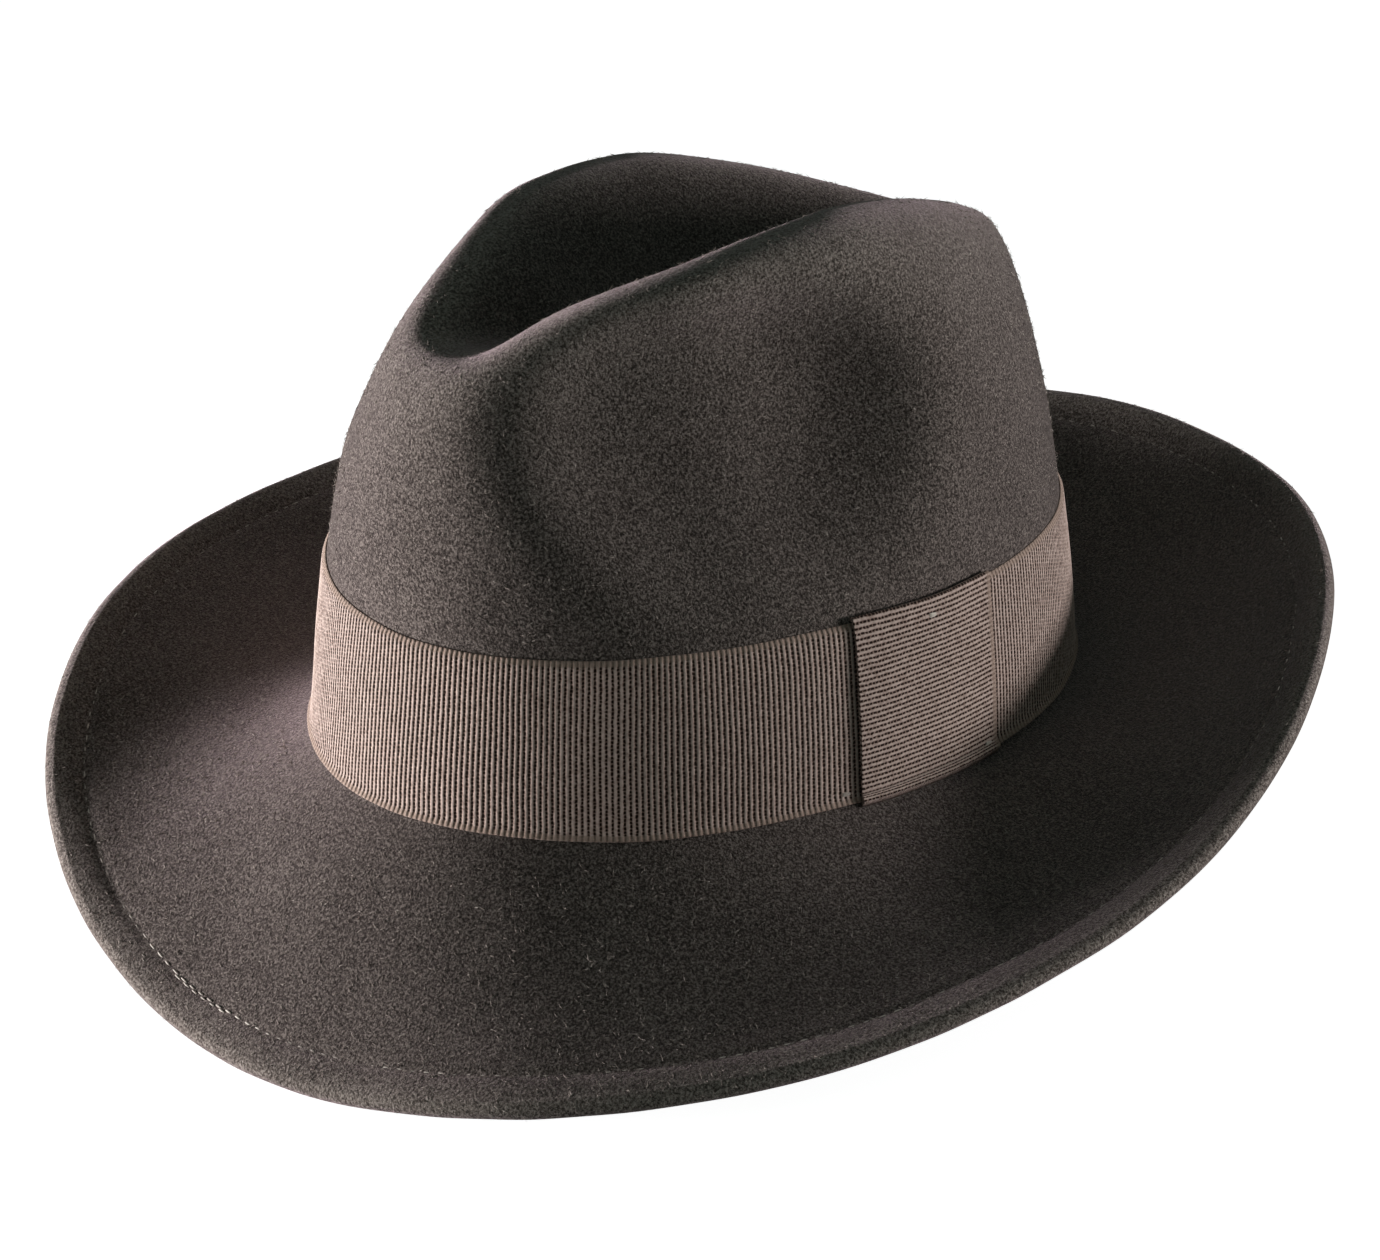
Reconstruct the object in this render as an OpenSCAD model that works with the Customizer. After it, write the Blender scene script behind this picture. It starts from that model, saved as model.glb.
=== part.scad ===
// Fedora hat in wool felt: a centre-dent crown pinched at the front, a snap brim with a turned-under
// stitched edge, a ribbed ribbon band with a flat keeper, and a leather sweatband and satin lining inside.
// Angles round the hat run from 0 at the front, through 90 at the wearer's left, to 180 at the back.
// Heights are taken from the brim line, where crown and brim meet. The hat is then tipped back onto the
// surface that it rests on: -Y is the front, +X the wearer's left.

/* [Crown] */
// Length of the crown at the brim line, front to back, outside
crown_length = 210; // [180:1:240]
// Width of the crown at the brim line, outside
crown_width = 164; // [140:1:200]
// Height of the two ridges beside the dent
ridge_height = 131; // [110:1:150]
// Height of the front tip of the dent
tip_height = 106; // [90:1:120]
// Height of the back end of the dent
tail_height = 107; // [90:1:125]
// How far the front tip stands back from the front of the crown
tip_setback = 32; // [18:1:40]
// How far the back end of the dent stands in from the back of the crown
tail_setback = 20; // [14:1:45]
// Distance between the two ridges at the middle of the dent
ridge_spacing = 76; // [50:1:90]
// How far forward the dent is widest, 0 for its middle
ridge_forward = 0.35; // [0:0.05:0.9]
// How long the ridges hold their height towards the front, 1 falls off evenly
ridge_hold_front = 2.5; // [1:0.05:4]
// How long the ridges hold their height towards the back
ridge_hold_back = 1.55; // [1:0.05:4]
// How much higher the left ridge stands than the right one
ridge_uneven = 6; // [-10:0.5:10]
// Depth of the dent under the ridges
dent_depth = 29; // [10:1:36]
// Length of the floor of the dent
dent_length = 89; // [50:1:110]
// Width of the floor of the dent
dent_floor_width = 7; // [3:0.5:14]
// Lean of the crown wall, in degrees
wall_lean = 5; // [0:0.5:10]
// Fullness of the crown wall at the sides, 2 is round and 4 boxy
side_fullness = 2.6; // [2:0.05:4]
// Fullness of the crown wall at the front
front_fullness = 2.65; // [2:0.05:4]
// Fullness of the crown wall at the back
back_fullness = 2.1; // [2:0.05:4]

/* [Front pinch] */
// Depth of the hollow pressed into each side of the front
pinch_depth = 21; // [0:0.5:24]
// How far the hollow lies behind the front of the crown
pinch_setback = 65; // [50:1:80]
// Height of the middle of the hollow
pinch_height = 96; // [80:1:110]
// Reach of the hollow along the crown
pinch_reach = 35; // [25:1:50]
// Reach of the hollow up and down
pinch_rise = 28; // [20:1:45]
// Firmness of the hollow's border, 1 is soft
pinch_firmness = 1.7; // [1:0.1:2.5]
// How far from the middle plane the hollow fades out
pinch_fade = 31; // [15:1:40]

/* [Brim] */
// Width of the brim at the front and back
brim_width_front = 71; // [45:0.5:90]
// Width of the brim at the sides
brim_width_side = 71.5; // [45:0.5:95]
// Rise of the brim line at the sides over the front and back
brim_line_rise = 3; // [0:0.5:8]
// Radius of the bend between crown and brim
break_radius = 4.5; // [3.5:0.1:8]
// Slope of the brim at the front, in degrees
slope_front = -37; // [-50:1:10]
// Slope of the brim at the left front
slope_left_front = -27; // [-45:1:20]
// Slope of the brim at the left side
slope_left = -6; // [-25:1:30]
// Slope of the brim at the left back
slope_left_back = 24; // [-10:1:40]
// Slope of the brim at the back
slope_back = 26; // [-10:1:40]
// Slope of the brim at the right back
slope_right_back = 13; // [-10:1:40]
// Slope of the brim at the right side
slope_right = 9; // [-25:1:30]
// Slope of the brim at the right front
slope_right_front = 2; // [-45:1:20]
// Turn of the brim from its bend to its edge at the front, in degrees
curl_front = 5; // [0:1:40]
// Turn of the brim from its bend to its edge at the sides
curl_side = 37; // [0:1:60]
// Turn of the brim from its bend to its edge at the back
curl_back = 37; // [0:1:60]

/* [Felt and edge] */
// Thickness of the felt
felt_thickness = 2; // [1.2:0.1:2.6]
// Width of the edge that is turned under
edge_fold = 12; // [8:0.5:20]
// Space left inside the turned edge
edge_loft = 0.4; // [0:0.1:1]
// How far the row of stitches lies from the edge
stitch_inset = 10; // [6:0.5:14]
// Length of one stitch on the brim
stitch_length = 2.4; // [1.5:0.1:4]
// Space between two stitches on the brim
stitch_space = 1.4; // [0.8:0.1:3]
// Thickness of the sewing thread
thread_size = 0.5; // [0.3:0.05:0.8]

/* [Ribbon] */
// Width of the ribbon, which is the height of the band
ribbon_width = 45; // [20:1:60]
// Thickness of the ribbon
ribbon_thickness = 0.8; // [0.4:0.1:1.2]
// Height of the ribbon's lower edge
ribbon_rise = 1.2; // [0.8:0.1:3]
// Place of the keeper's middle round the hat, in degrees
keeper_angle = 94.5; // [70:0.5:120]
// How far the keeper reaches over the band at top and bottom
keeper_lap = 1; // [0.5:0.1:2]
// How far the keeper's front edge stands off the band
keeper_lift = 1.4; // [0:0.1:2]
// How far the tacks lie in from the ribbon's edges
tack_inset = 3; // [2:0.5:6]

/* [Sweatband] */
// Height of the sweatband
sweatband_height = 34; // [24:1:42]
// Thickness of the sweatband leather
sweatband_thickness = 1.2; // [0.8:0.1:1.8]
// Space behind the sweatband
sweatband_slack = 0.8; // [0.4:0.1:1.5]
// Diameter of the reed in the sweatband's lower edge
reed_size = 2; // [1.4:0.1:2.6]
// Height of the reed
reed_rise = 3; // [2.5:0.1:4]
// Thickness of the tape round the reed
tape_thickness = 0.4; // [0.3:0.05:0.8]
// Length of one sweatband stitch
band_stitch_length = 3; // [2:0.1:4]
// Space between two sweatband stitches
band_stitch_space = 3; // [1.5:0.1:4]
// How far the sweatband stitches lie in from its lower edge
band_stitch_inset = 1.5; // [1:0.1:4]

/* [Lining] */
// Thickness of the satin lining
lining_thickness = 0.4; // [0.3:0.05:0.8]
// How far the lining reaches down behind the sweatband
lining_tuck = 14; // [6:1:20]

/* [Hidden] */
// Space between neighbouring pieces
clearance = 0.3;
// Angle between two steps round the hat
turn_step = 360 / 64;
// Angle between two steps round the reed
reed_step = 360 / 36;
// Facets round the reed and round its tape
reed_sides = 6;
tape_sides = 8;
// Facets round a stitch
stitch_sides = 16;

// Worked out from the sizes above
half_length = crown_length / 2;
half_width = crown_width / 2;
tip_y = tip_setback - half_length;
tail_y = half_length - tail_setback;
dent_middle = (tip_y + tail_y) / 2;
dent_reach = (tail_y - tip_y) / 2;
dent_floor = ridge_height - dent_depth;
pinch_y = pinch_setback - half_length;
brim_slopes = [slope_front, slope_left_front, slope_left, slope_left_back,
               slope_back, slope_right_back, slope_right, slope_right_front];
fold_thickness = 2 * felt_thickness + edge_loft;
lining_depth = felt_thickness + clearance;
sweatband_depth = lining_depth + lining_thickness + sweatband_slack;
tape_radius = reed_size / 2 + clearance / 2 + tape_thickness;
reed_depth = felt_thickness + clearance + tape_radius;
sweatband_rise = reed_rise + tape_radius + clearance;
sweatband_top = sweatband_rise + sweatband_height;
lining_low = sweatband_top - lining_tuck;
ribbon_top = ribbon_rise + ribbon_width;
ribbon_face = clearance + ribbon_thickness;
keeper_half = oval_turn(keeper_angle, ribbon_width / 2);
full_turn = [0 : turn_step : 359.9];

// Smooth step from 0 at low to 1 at high
function eased(low, high, x) = let (t = min(max((x - low) / (high - low), 0), 1)) t * t * (3 - 2 * t);

// Smooth curve through values spaced evenly round the hat
function round_hat(values, a) =
    let (count = len(values),
         place = (a + 720) * count / 360,
         i = floor(place),
         t = place - i,
         v = [for (k = [-1 : 2]) values[(i + k + count) % count]],
         m1 = (v[2] - v[0]) / 2,
         m2 = (v[3] - v[1]) / 2)
    (2 * t ^ 3 - 3 * t ^ 2 + 1) * v[1] + (t ^ 3 - 2 * t ^ 2 + t) * m1
    + (3 * t ^ 2 - 2 * t ^ 3) * v[2] + (t ^ 3 - t ^ 2) * m2;

// Head oval, its outward direction, and the height of the brim line on it
function oval(a) = [half_width * sin(a), -half_length * cos(a)];
function outward(a) = let (n = [sin(a) / half_width, -cos(a) / half_length]) n / norm(n);
function brim_line(a) = -brim_line_rise / 2 * cos(2 * a);

// Angle that a length along the oval takes up at a place round the hat
function oval_turn(a, distance) =
    distance / norm([half_width * cos(a), half_length * sin(a)]) * 180 / PI;

// A point moved by the hollows of the front pinch
function pinched(p) =
    let (along = (p.y - pinch_y) / pinch_reach,
         up = (p.z - pinch_height) / pinch_rise,
         hollow = exp(-(along ^ 2 + up ^ 2) ^ pinch_firmness),
         push = pinch_depth * hollow * eased(0, pinch_fade, abs(p.x)))
    [p.x - sign(p.x) * push, p.y, p.z];

// Rim of the dent, before the pinch
function rim(a) =
    let (front_fall = (ridge_height - tip_height) * max(cos(a), 0) ^ ridge_hold_front,
         back_fall = (ridge_height - tail_height) * max(-cos(a), 0) ^ ridge_hold_back,
         uneven = ridge_uneven / 2 * sin(a) * (1 - cos(a)))
    [ridge_spacing / 2 * sin(a) * (1 + ridge_forward * cos(a)),
     dent_middle - dent_reach * cos(a),
     ridge_height - front_fall - back_fall + uneven];

function fullness(a) =
    side_fullness + (front_fullness - side_fullness) * max(cos(a), 0) ^ 2
    + (back_fullness - side_fullness) * max(-cos(a), 0) ^ 2;

// Outside of the crown: k runs from 0 at the foot of the wall to 90 at the rim and 180 on the dent's floor
function crown(a, k) = k <= 90 ? crown_wall(a, k) : crown_dent(a, (k - 90) / 90);
function crown_wall(a, k) =
    let (top = rim(a),
         foot = brim_line(a) + break_radius,
         rise = sin(k) ^ (2 / fullness(a)),
         run = k > 89.99 ? 0 : cos(k) ^ (2 / fullness(a)),
         z = foot + (top.z - foot) * rise,
         wall = oval(a) - outward(a) * tan(wall_lean) * (z - foot))
    pinched([top.x + (wall.x - top.x) * run, top.y + (wall.y - top.y) * run, z]);
function crown_dent(a, v) =
    let (edge = pinched(rim(a)),
         floor_x = dent_floor_width / 2 * sin(a),
         floor_y = dent_middle - dent_length / 2 * cos(a))
    [edge.x + (floor_x - edge.x) * v,
     edge.y + (floor_y - edge.y) * v,
     dent_floor + (edge.z - dent_floor) * (1 + cos(180 * v)) / 2];

// Outward direction square to the crown, from small steps each way
function crown_normal(a, k) =
    let (round = crown(a + 1, k) - crown(a - 1, k),
         along = crown(a, min(k + 1, 180)) - crown(a, max(k - 1, 0)),
         n = cross(round, along))
    n / norm(n);
function crown_off(a, k, off) = crown(a, k) + off * crown_normal(a, k);

// Step k of the crown wall at a height over the brim line
function wall_step(a, height) =
    let (share = (height - break_radius) / (rim(a).z - brim_line(a) - break_radius))
    asin(min(max(share, 0), 1) ^ (fullness(a) / 2));

// A point of the section at an angle: u outward from the oval, z over the brim line
function section_point(a, u, z) =
    let (p = oval(a) + outward(a) * u) [p.x, p.y, brim_line(a) + z];

// Bend between wall and brim: t runs from 0 at the wall to 1 at the brim, off is outward
function bend_slope(a) = round_hat(brim_slopes, a) - curl(a) / 2;
function bend_at(a, angle, off) =
    let (r = break_radius - off)
    section_point(a, break_radius + r * cos(angle), break_radius + r * sin(angle));
function bend(a, t, off) = bend_at(a, 180 + (90 + bend_slope(a)) * t, off);

// A point at a height over the brim line on the wall or the upper part of the bend
function shell(a, height, off) =
    height >= break_radius
    ? crown_off(a, wall_step(a, height), off)
    : bend_at(a, 180 + asin(1 - height / break_radius), off);

// Brim: t runs from 0 at the bend to 1 at the edge, depth is down from its upper face
function curl(a) =
    (curl_front + curl_back + 2 * curl_side) / 4 + (curl_front - curl_back) / 2 * cos(a)
    + (curl_front + curl_back - 2 * curl_side) / 4 * cos(2 * a);
function brim_width(a) =
    (brim_width_front + brim_width_side) / 2 + (brim_width_front - brim_width_side) / 2 * cos(2 * a);
function brim_start(a) = let (g = bend_slope(a)) break_radius * [1 + sin(g), 1 - cos(g)];
function brim_end(a) =
    let (g = round_hat(brim_slopes, a)) (brim_width(a) - fold_thickness / 2) * [cos(g), sin(g)];
function brim_reach(a) = norm(brim_end(a) - brim_start(a));
function brim_slope(a, t) =
    let (g = brim_controls(a),
         d = (1 - t) ^ 2 * (g[1] - g[0]) + 2 * t * (1 - t) * (g[2] - g[1]) + t ^ 2 * (g[3] - g[2]))
    atan2(d.y, d.x);
function brim_controls(a) =
    let (first = bend_slope(a),
         last = first + curl(a),
         handle = brim_reach(a) / 3)
    [brim_start(a), brim_start(a) + handle * [cos(first), sin(first)],
     brim_end(a) - handle * [cos(last), sin(last)], brim_end(a)];
function brim(a, t, depth) =
    let (g = brim_controls(a),
         p = (1 - t) ^ 3 * g[0] + 3 * t * (1 - t) ^ 2 * g[1] + 3 * t ^ 2 * (1 - t) * g[2] + t ^ 3 * g[3],
         slope = brim_slope(a, t))
    section_point(a, p.x + depth * sin(slope), p.y - depth * cos(slope));
// Step t of the brim at a distance in from its outer edge
function brim_step(a, inset) = 1 - (inset - fold_thickness / 2) / brim_reach(a);
// Rounded edge: angle runs from 0 on the upper face to 180 on the lower
function brim_edge(a, angle) =
    let (end = brim_end(a),
         slope = brim_slope(a, 1),
         r = fold_thickness / 2,
         out = [cos(slope), sin(slope)],
         up = [-sin(slope), cos(slope)],
         p = end - up * r + up * r * cos(angle) + out * r * sin(angle))
    section_point(a, p.x, p.y);

// Outline of the whole felt piece at one angle, from the dent's floor round the edge to the floor's underside
dent_steps = [180, 166, 150, 134, 118, 104];
wall_steps = [90, 80, 70, 60, 50, 40, 30, 20, 10, 0];
wall_under_steps = [0, 6, 12, 24, 36, 48, 60, 70, 80, 90];
dent_under_steps = [108, 130, 155, 180];
function felt_outline(a) = concat(
    [for (k = dent_steps) crown(a, k)],
    [for (k = wall_steps) crown(a, k)],
    [for (t = [1 / 3, 2 / 3]) bend(a, t, 0)],
    [for (t = [0, 0.16, 0.32, 0.48, 0.64, 0.8, 0.9]) brim(a, t, 0)],
    [for (angle = [0 : 45 : 180]) brim_edge(a, angle)],
    [for (inset = [edge_fold * 0.6, edge_fold]) brim(a, brim_step(a, inset), fold_thickness)],
    [brim(a, brim_step(a, edge_fold + edge_loft), felt_thickness)],
    [for (t = [0.6, 0.4, 0.2, 0]) brim(a, t, felt_thickness)],
    [for (t = [2 / 3, 1 / 3]) bend(a, t, -felt_thickness)],
    [for (k = wall_under_steps) crown_off(a, k, -felt_thickness)],
    [for (k = dent_under_steps) crown_off(a, k, -felt_thickness)]);
felt_sections = [for (a = full_turn) felt_outline(a)];

// Rest: the hat tips back until the front edge and the bend at the back touch the surface
front_low = brim_edge(0, 135);
back_low = bend(180, 0.8, -felt_thickness);
rest_tip = atan2(back_low.z - front_low.z, back_low.y - front_low.y);
felt_points = [for (s = felt_sections) each s];
tipped_y = [for (p = felt_points) p.y * cos(rest_tip) + p.z * sin(rest_tip)];
tipped_z = [for (p = felt_points) p.z * cos(rest_tip) - p.y * sin(rest_tip)];
side_x = [for (p = felt_points) p.x];
rest_place = -[(min(side_x) + max(side_x)) / 2, (min(tipped_y) + max(tipped_y)) / 2, min(tipped_z)];
module at_rest() translate(rest_place) rotate([-rest_tip, 0, 0]) children();

// Solid through a row of loops that each have as many points
module loft(loops, closed = false) {
    count = len(loops[0]);
    rows = len(loops);
    sides = [for (i = [0 : rows - (closed ? 1 : 2)], j = [0 : count - 1])
        let (near = i * count, far = (i + 1) % rows * count, next = (j + 1) % count)
        each [[near + j, far + next, far + j], [near + j, near + next, far + next]]];
    ends = closed ? [] : [
        [for (j = [count - 1 : -1 : 0]) j],
        [for (j = [0 : count - 1]) (rows - 1) * count + j]];
    polyhedron([for (loop = loops) each loop], concat(sides, ends), convexity = 10);
}

// Solid through rings that each go once round the hat
function rings_of(sections) = [for (j = [0 : len(sections[0]) - 1]) [for (s = sections) s[j]]];

// Section of a strip against the crown: up its far face and down its near face
function strip(a, heights, near, far) = concat(
    [for (height = heights) shell(a, height, far)],
    [for (i = [len(heights) - 1 : -1 : 0]) shell(a, heights[i], near)]);

// One stitch: a short length of thread from one point to another
module stitch(from, to) {
    d = to - from;
    translate(from) rotate([0, acos(d.z / norm(d)), atan2(d.y, d.x)])
        cylinder(h = norm(d), d = thread_size, $fn = stitch_sides);
}

// Angles that part a turn evenly at a spacing on an oval of this mean size
function spaced(across, along, pitch) =
    let (count = floor(PI * (across + along) / 2 / pitch)) [for (i = [0 : count - 1]) 360 * i / count];

// Crown and brim, one blocked piece of felt with its edge turned under
module felt_body() color("#3a3531") at_rest() loft(rings_of(felt_sections));

// Row of thread that holds the turned edge
module brim_stitches() color("#b9b0a6") at_rest() {
    across = crown_width + 2 * (brim_width_side - stitch_inset);
    along = crown_length + 2 * (brim_width_front - stitch_inset);
    pitch = stitch_length + stitch_space;
    lift = -(clearance + thread_size / 2);
    for (a = spaced(across, along, pitch)) {
        start = brim(a, brim_step(a, stitch_inset), lift);
        next = brim(a + 1, brim_step(a + 1, stitch_inset), lift);
        stitch(start, start + (next - start) / norm(next - start) * stitch_length);
    }
}

// Band: one length of ribbon round the crown, with its two ends under the keeper
ribbon_heights = [ribbon_rise, break_radius, (break_radius + ribbon_top) / 2, ribbon_top];
module ribbon_band() color("#6c5e5a") at_rest() {
    first = keeper_angle + oval_turn(keeper_angle, clearance);
    last = keeper_angle + 360 - oval_turn(keeper_angle, clearance);
    inner = [for (a = full_turn) if (a > first) a];
    rest = [for (a = full_turn) if (a + 360 < last) a + 360];
    loft([for (a = concat([first], inner, rest, [last]))
        strip(a, ribbon_heights, clearance, ribbon_face)]);
}

// Keeper: a short piece of the same ribbon over the joint, turned in over the band's two edges
keeper_near = ribbon_face + clearance;
keeper_low = ribbon_rise - clearance;
keeper_high = ribbon_top + clearance;
keeper_levels = 4;
function keeper_level(i) = keeper_low + (keeper_high - keeper_low) * i / keeper_levels;
// Its front edge stands off the band between the two turned edges
function keeper_off(a, i) =
    i == 0 || i == keeper_levels
    ? keeper_near
    : keeper_near + keeper_lift * eased(keeper_angle, keeper_angle - keeper_half, a);
function keeper_section(a) = concat(
    [shell(a, keeper_low - keeper_lap / 2, clearance)],
    [shell(a, keeper_low - keeper_lap / 2, keeper_near + ribbon_thickness)],
    [for (i = [0 : keeper_levels]) shell(a, keeper_level(i), keeper_off(a, i) + ribbon_thickness)],
    [shell(a, keeper_high + keeper_lap, keeper_near + ribbon_thickness)],
    [shell(a, keeper_high + keeper_lap, clearance)],
    [shell(a, keeper_high, clearance)],
    [for (i = [keeper_levels : -1 : 0]) shell(a, keeper_level(i), keeper_off(a, i))],
    [shell(a, keeper_low, clearance)]);
module ribbon_keeper() color("#665350") at_rest()
    loft([for (n = [-1 : 0.25 : 1]) keeper_section(keeper_angle + keeper_half * n)]);

// Small thread tacks: one at the keeper's top, one at its back foot and one on the band by its front foot
module ribbon_tacks() color("#c4bab2") at_rest() {
    on_band = ribbon_face + clearance + thread_size / 2;
    on_keeper = on_band + clearance + ribbon_thickness;
    reach = oval_turn(keeper_angle, stitch_length);
    for (tack = [[keeper_angle, ribbon_top - tack_inset, on_keeper],
                 [keeper_angle + keeper_half - 2 * reach, ribbon_rise + tack_inset, on_keeper],
                 [keeper_angle - keeper_half - 2 * reach, ribbon_rise + tack_inset, on_band]])
        stitch(shell(tack[0], tack[1], tack[2]), shell(tack[0] + reach, tack[1], tack[2]));
}

// Sweatband: one strip of leather round the opening, with its ends meeting at the back
sweatband_heights = [for (i = [0 : 3]) sweatband_rise + sweatband_height * i / 3];
module sweatband() color("#2b2422") at_rest() {
    gap = oval_turn(180, clearance);
    inner = [for (a = full_turn) if (a > 180 + gap) a];
    rest = [for (a = full_turn) if (a < 180 - gap) a + 360];
    loft([for (a = concat([180 + gap], inner, rest, [540 - gap]))
        strip(a, sweatband_heights, -sweatband_depth - sweatband_thickness, -sweatband_depth)]);
}

// Reed: a springy rod in the sweatband's lower edge, with its ends meeting at the back
function reed_ring(a, radius, sides, from = 0, turn = 360) =
    let (middle = shell(a, reed_rise, -reed_depth),
         in = middle - shell(a, reed_rise, -reed_depth + 1),
         rise = [0, 0, 1] - in * in.z,
         up = rise / norm(rise))
    [for (i = [0 : sides - 1])
        let (angle = from + turn * i / (turn == 360 ? sides : sides - 1))
        middle + radius * (in * cos(angle) + up * sin(angle))];
reed_gap = oval_turn(180, clearance);
reed_turn = [180 + reed_gap, for (a = [180 + reed_step : reed_step : 539]) a, 540 - reed_gap];
module sweatband_reed() color("#d8d2c4") at_rest()
    loft([for (a = reed_turn) reed_ring(a, reed_size / 2, reed_sides)]);

// Tape: cloth folded round the reed, open where its two edges are sewn to the sweatband
module sweatband_tape() color("#37302c") at_rest()
    loft([for (a = reed_turn) concat(
        reed_ring(a, tape_radius, tape_sides, 110, 320),
        reed_ring(a, tape_radius - tape_thickness, tape_sides, 430, -320))]);

// Row of thread along the sweatband's lower edge
module sweatband_stitches() color("#8d8378") at_rest() {
    face = -sweatband_depth - sweatband_thickness - clearance - thread_size / 2;
    height = sweatband_rise + band_stitch_inset;
    pitch = band_stitch_length + band_stitch_space;
    for (a = spaced(crown_width + 2 * face, crown_length + 2 * face, pitch)) {
        start = shell(a, height, face);
        next = shell(a + 1, height, face);
        stitch(start, start + (next - start) / norm(next - start) * band_stitch_length);
    }
}

// Cross stitches that draw the sweatband's two ends together at the back
module sweatband_joint_stitches() color("#8d8378") at_rest() {
    face = -sweatband_depth - sweatband_thickness - clearance - thread_size / 2;
    pitch = band_stitch_length + band_stitch_space;
    reach = oval_turn(180, band_stitch_length / 2);
    for (height = [sweatband_rise + pitch : pitch : sweatband_top - pitch / 2])
        stitch(shell(180 - reach, height, face), shell(180 + reach, height + pitch / 2, face));
}

// Side of the lining: a satin band up the inside of the crown wall, its foot behind the sweatband
// The seam between side and tip runs just under the rim of the dent
seam_step = 68;
foot_step = wall_step(90, lining_low);
side_steps = [foot_step, for (k = wall_under_steps) if (k > foot_step + 1 && k < seam_step - 1) k, seam_step];
lining_face = lining_depth + lining_thickness;
module lining_side() color("#4a4140") at_rest()
    loft([for (a = full_turn) concat(
        [for (k = side_steps) crown_off(a, k, -lining_depth)],
        [for (i = [len(side_steps) - 1 : -1 : 0]) crown_off(a, side_steps[i], -lining_face)])],
        closed = true);

// Tip of the lining: a satin piece across the top of the crown, sewn to the side all round
under_steps = concat(wall_under_steps, dent_under_steps);
tip_steps = [seam_step + clearance, for (k = under_steps) if (k > seam_step + 1) k];
module lining_tip() color("#4a4140") at_rest()
    loft(rings_of([for (a = full_turn) concat(
        [for (i = [len(tip_steps) - 1 : -1 : 0]) crown_off(a, tip_steps[i], -lining_depth)],
        [for (k = tip_steps) crown_off(a, k, -lining_face)])]));

felt_body();
brim_stitches();
ribbon_band();
ribbon_keeper();
ribbon_tacks();
sweatband();
sweatband_reed();
sweatband_tape();
sweatband_stitches();
sweatband_joint_stitches();
lining_side();
lining_tip();
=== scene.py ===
import math
import random

import bmesh
import bpy
import numpy as np
from mathutils import Matrix, Vector, noise


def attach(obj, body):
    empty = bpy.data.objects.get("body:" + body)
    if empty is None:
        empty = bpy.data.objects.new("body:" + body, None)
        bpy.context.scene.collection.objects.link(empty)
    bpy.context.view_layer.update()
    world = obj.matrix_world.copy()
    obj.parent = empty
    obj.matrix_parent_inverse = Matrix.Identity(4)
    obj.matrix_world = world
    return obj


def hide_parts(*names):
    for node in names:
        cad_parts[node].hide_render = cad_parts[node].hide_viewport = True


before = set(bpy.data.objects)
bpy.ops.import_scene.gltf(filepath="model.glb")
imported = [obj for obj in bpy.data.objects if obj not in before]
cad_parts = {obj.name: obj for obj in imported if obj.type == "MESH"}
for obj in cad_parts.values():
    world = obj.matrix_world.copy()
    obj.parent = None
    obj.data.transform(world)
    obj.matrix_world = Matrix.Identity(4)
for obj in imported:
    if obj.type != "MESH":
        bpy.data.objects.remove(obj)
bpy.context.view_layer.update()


# Felt body
# Crown and brim are one piece of wool felt, steamed and blocked over a form. A dent runs along the top, a
# hollow is pressed into each side of the front, and the brim's edge is turned under and sewn down.
# Sizes are in millimetres. Angles are in degrees round the hat: 0 is its front, 90 the wearer's left.
CROWN_LENGTH = 210
CROWN_WIDTH = 164
RIDGE_HEIGHT = 131
TIP_HEIGHT = 106
TAIL_HEIGHT = 107
TIP_SETBACK = 32
TAIL_SETBACK = 20
RIDGE_SPACING = 76
RIDGE_FORWARD = 0.35
RIDGE_HOLD_FRONT, RIDGE_HOLD_BACK = 2.5, 1.55
RIDGE_UNEVEN = 6
DENT_DEPTH = 29
DENT_LENGTH = 89
DENT_FLOOR_WIDTH = 7
WALL_LEAN = 5
SIDE_FULLNESS = 2.6
FRONT_FULLNESS = 2.65
BACK_FULLNESS = 2.1
PINCH_DEPTH = 21
PINCH_SETBACK = 65
PINCH_HEIGHT = 96
PINCH_FLAT = 18
PINCH_REACH = 35
PINCH_RISE, PINCH_FALL = 28, 34
PINCH_FIRMNESS = 1.7
PINCH_FADE = 31
BRIM_WIDTH_FRONT = 71
BRIM_WIDTH_SIDE = 71.5
BRIM_LINE_RISE = 3
BREAK_RADIUS = 4.5
BRIM_SLOPES = [-37, -27, -6, 24, 26, 13, 9, 2]
CURL_FRONT, CURL_SIDE, CURL_BACK = 5, 37, 37
CURL_SNAP = 14
SNAP_ANGLE, SNAP_SPREAD = -40, 22
FELT_THICKNESS = 2
EDGE_FOLD = 12
EDGE_LOFT = 0.4
EDGE_ZONE = 17
FOLD_BULGE = 0.3
LIP_RADIUS = 0.5
STITCH_INSET = 10
GROOVE_DEPTH = 0.3
GROOVE_WIDTH = 1.3
EDGE_SWELL = 0.3
UNEVENNESS = 0.6
UNEVEN_SPAN, RIPPLE_SPAN = 48, 17
HAT_TIP = 9.24975
HAT_PLACE = np.array([0.0082, -3.1165, 22.4517])

HALF_LENGTH = CROWN_LENGTH / 2
HALF_WIDTH = CROWN_WIDTH / 2
TIP_Y = TIP_SETBACK - HALF_LENGTH
TAIL_Y = HALF_LENGTH - TAIL_SETBACK
DENT_MIDDLE = (TIP_Y + TAIL_Y) / 2
DENT_REACH = (TAIL_Y - TIP_Y) / 2
DENT_FLOOR = RIDGE_HEIGHT - DENT_DEPTH
FOLD_THICKNESS = 2 * FELT_THICKNESS + EDGE_LOFT


def sind(angle):
    return np.sin(np.radians(angle))


def cosd(angle):
    return np.cos(np.radians(angle))


def vec(*parts):
    return np.stack(np.broadcast_arrays(*parts), -1)


def eased(low, high, x):
    t = np.clip((np.asarray(x, float) - low) / (high - low), 0, 1)
    return t * t * (3 - 2 * t)


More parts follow.
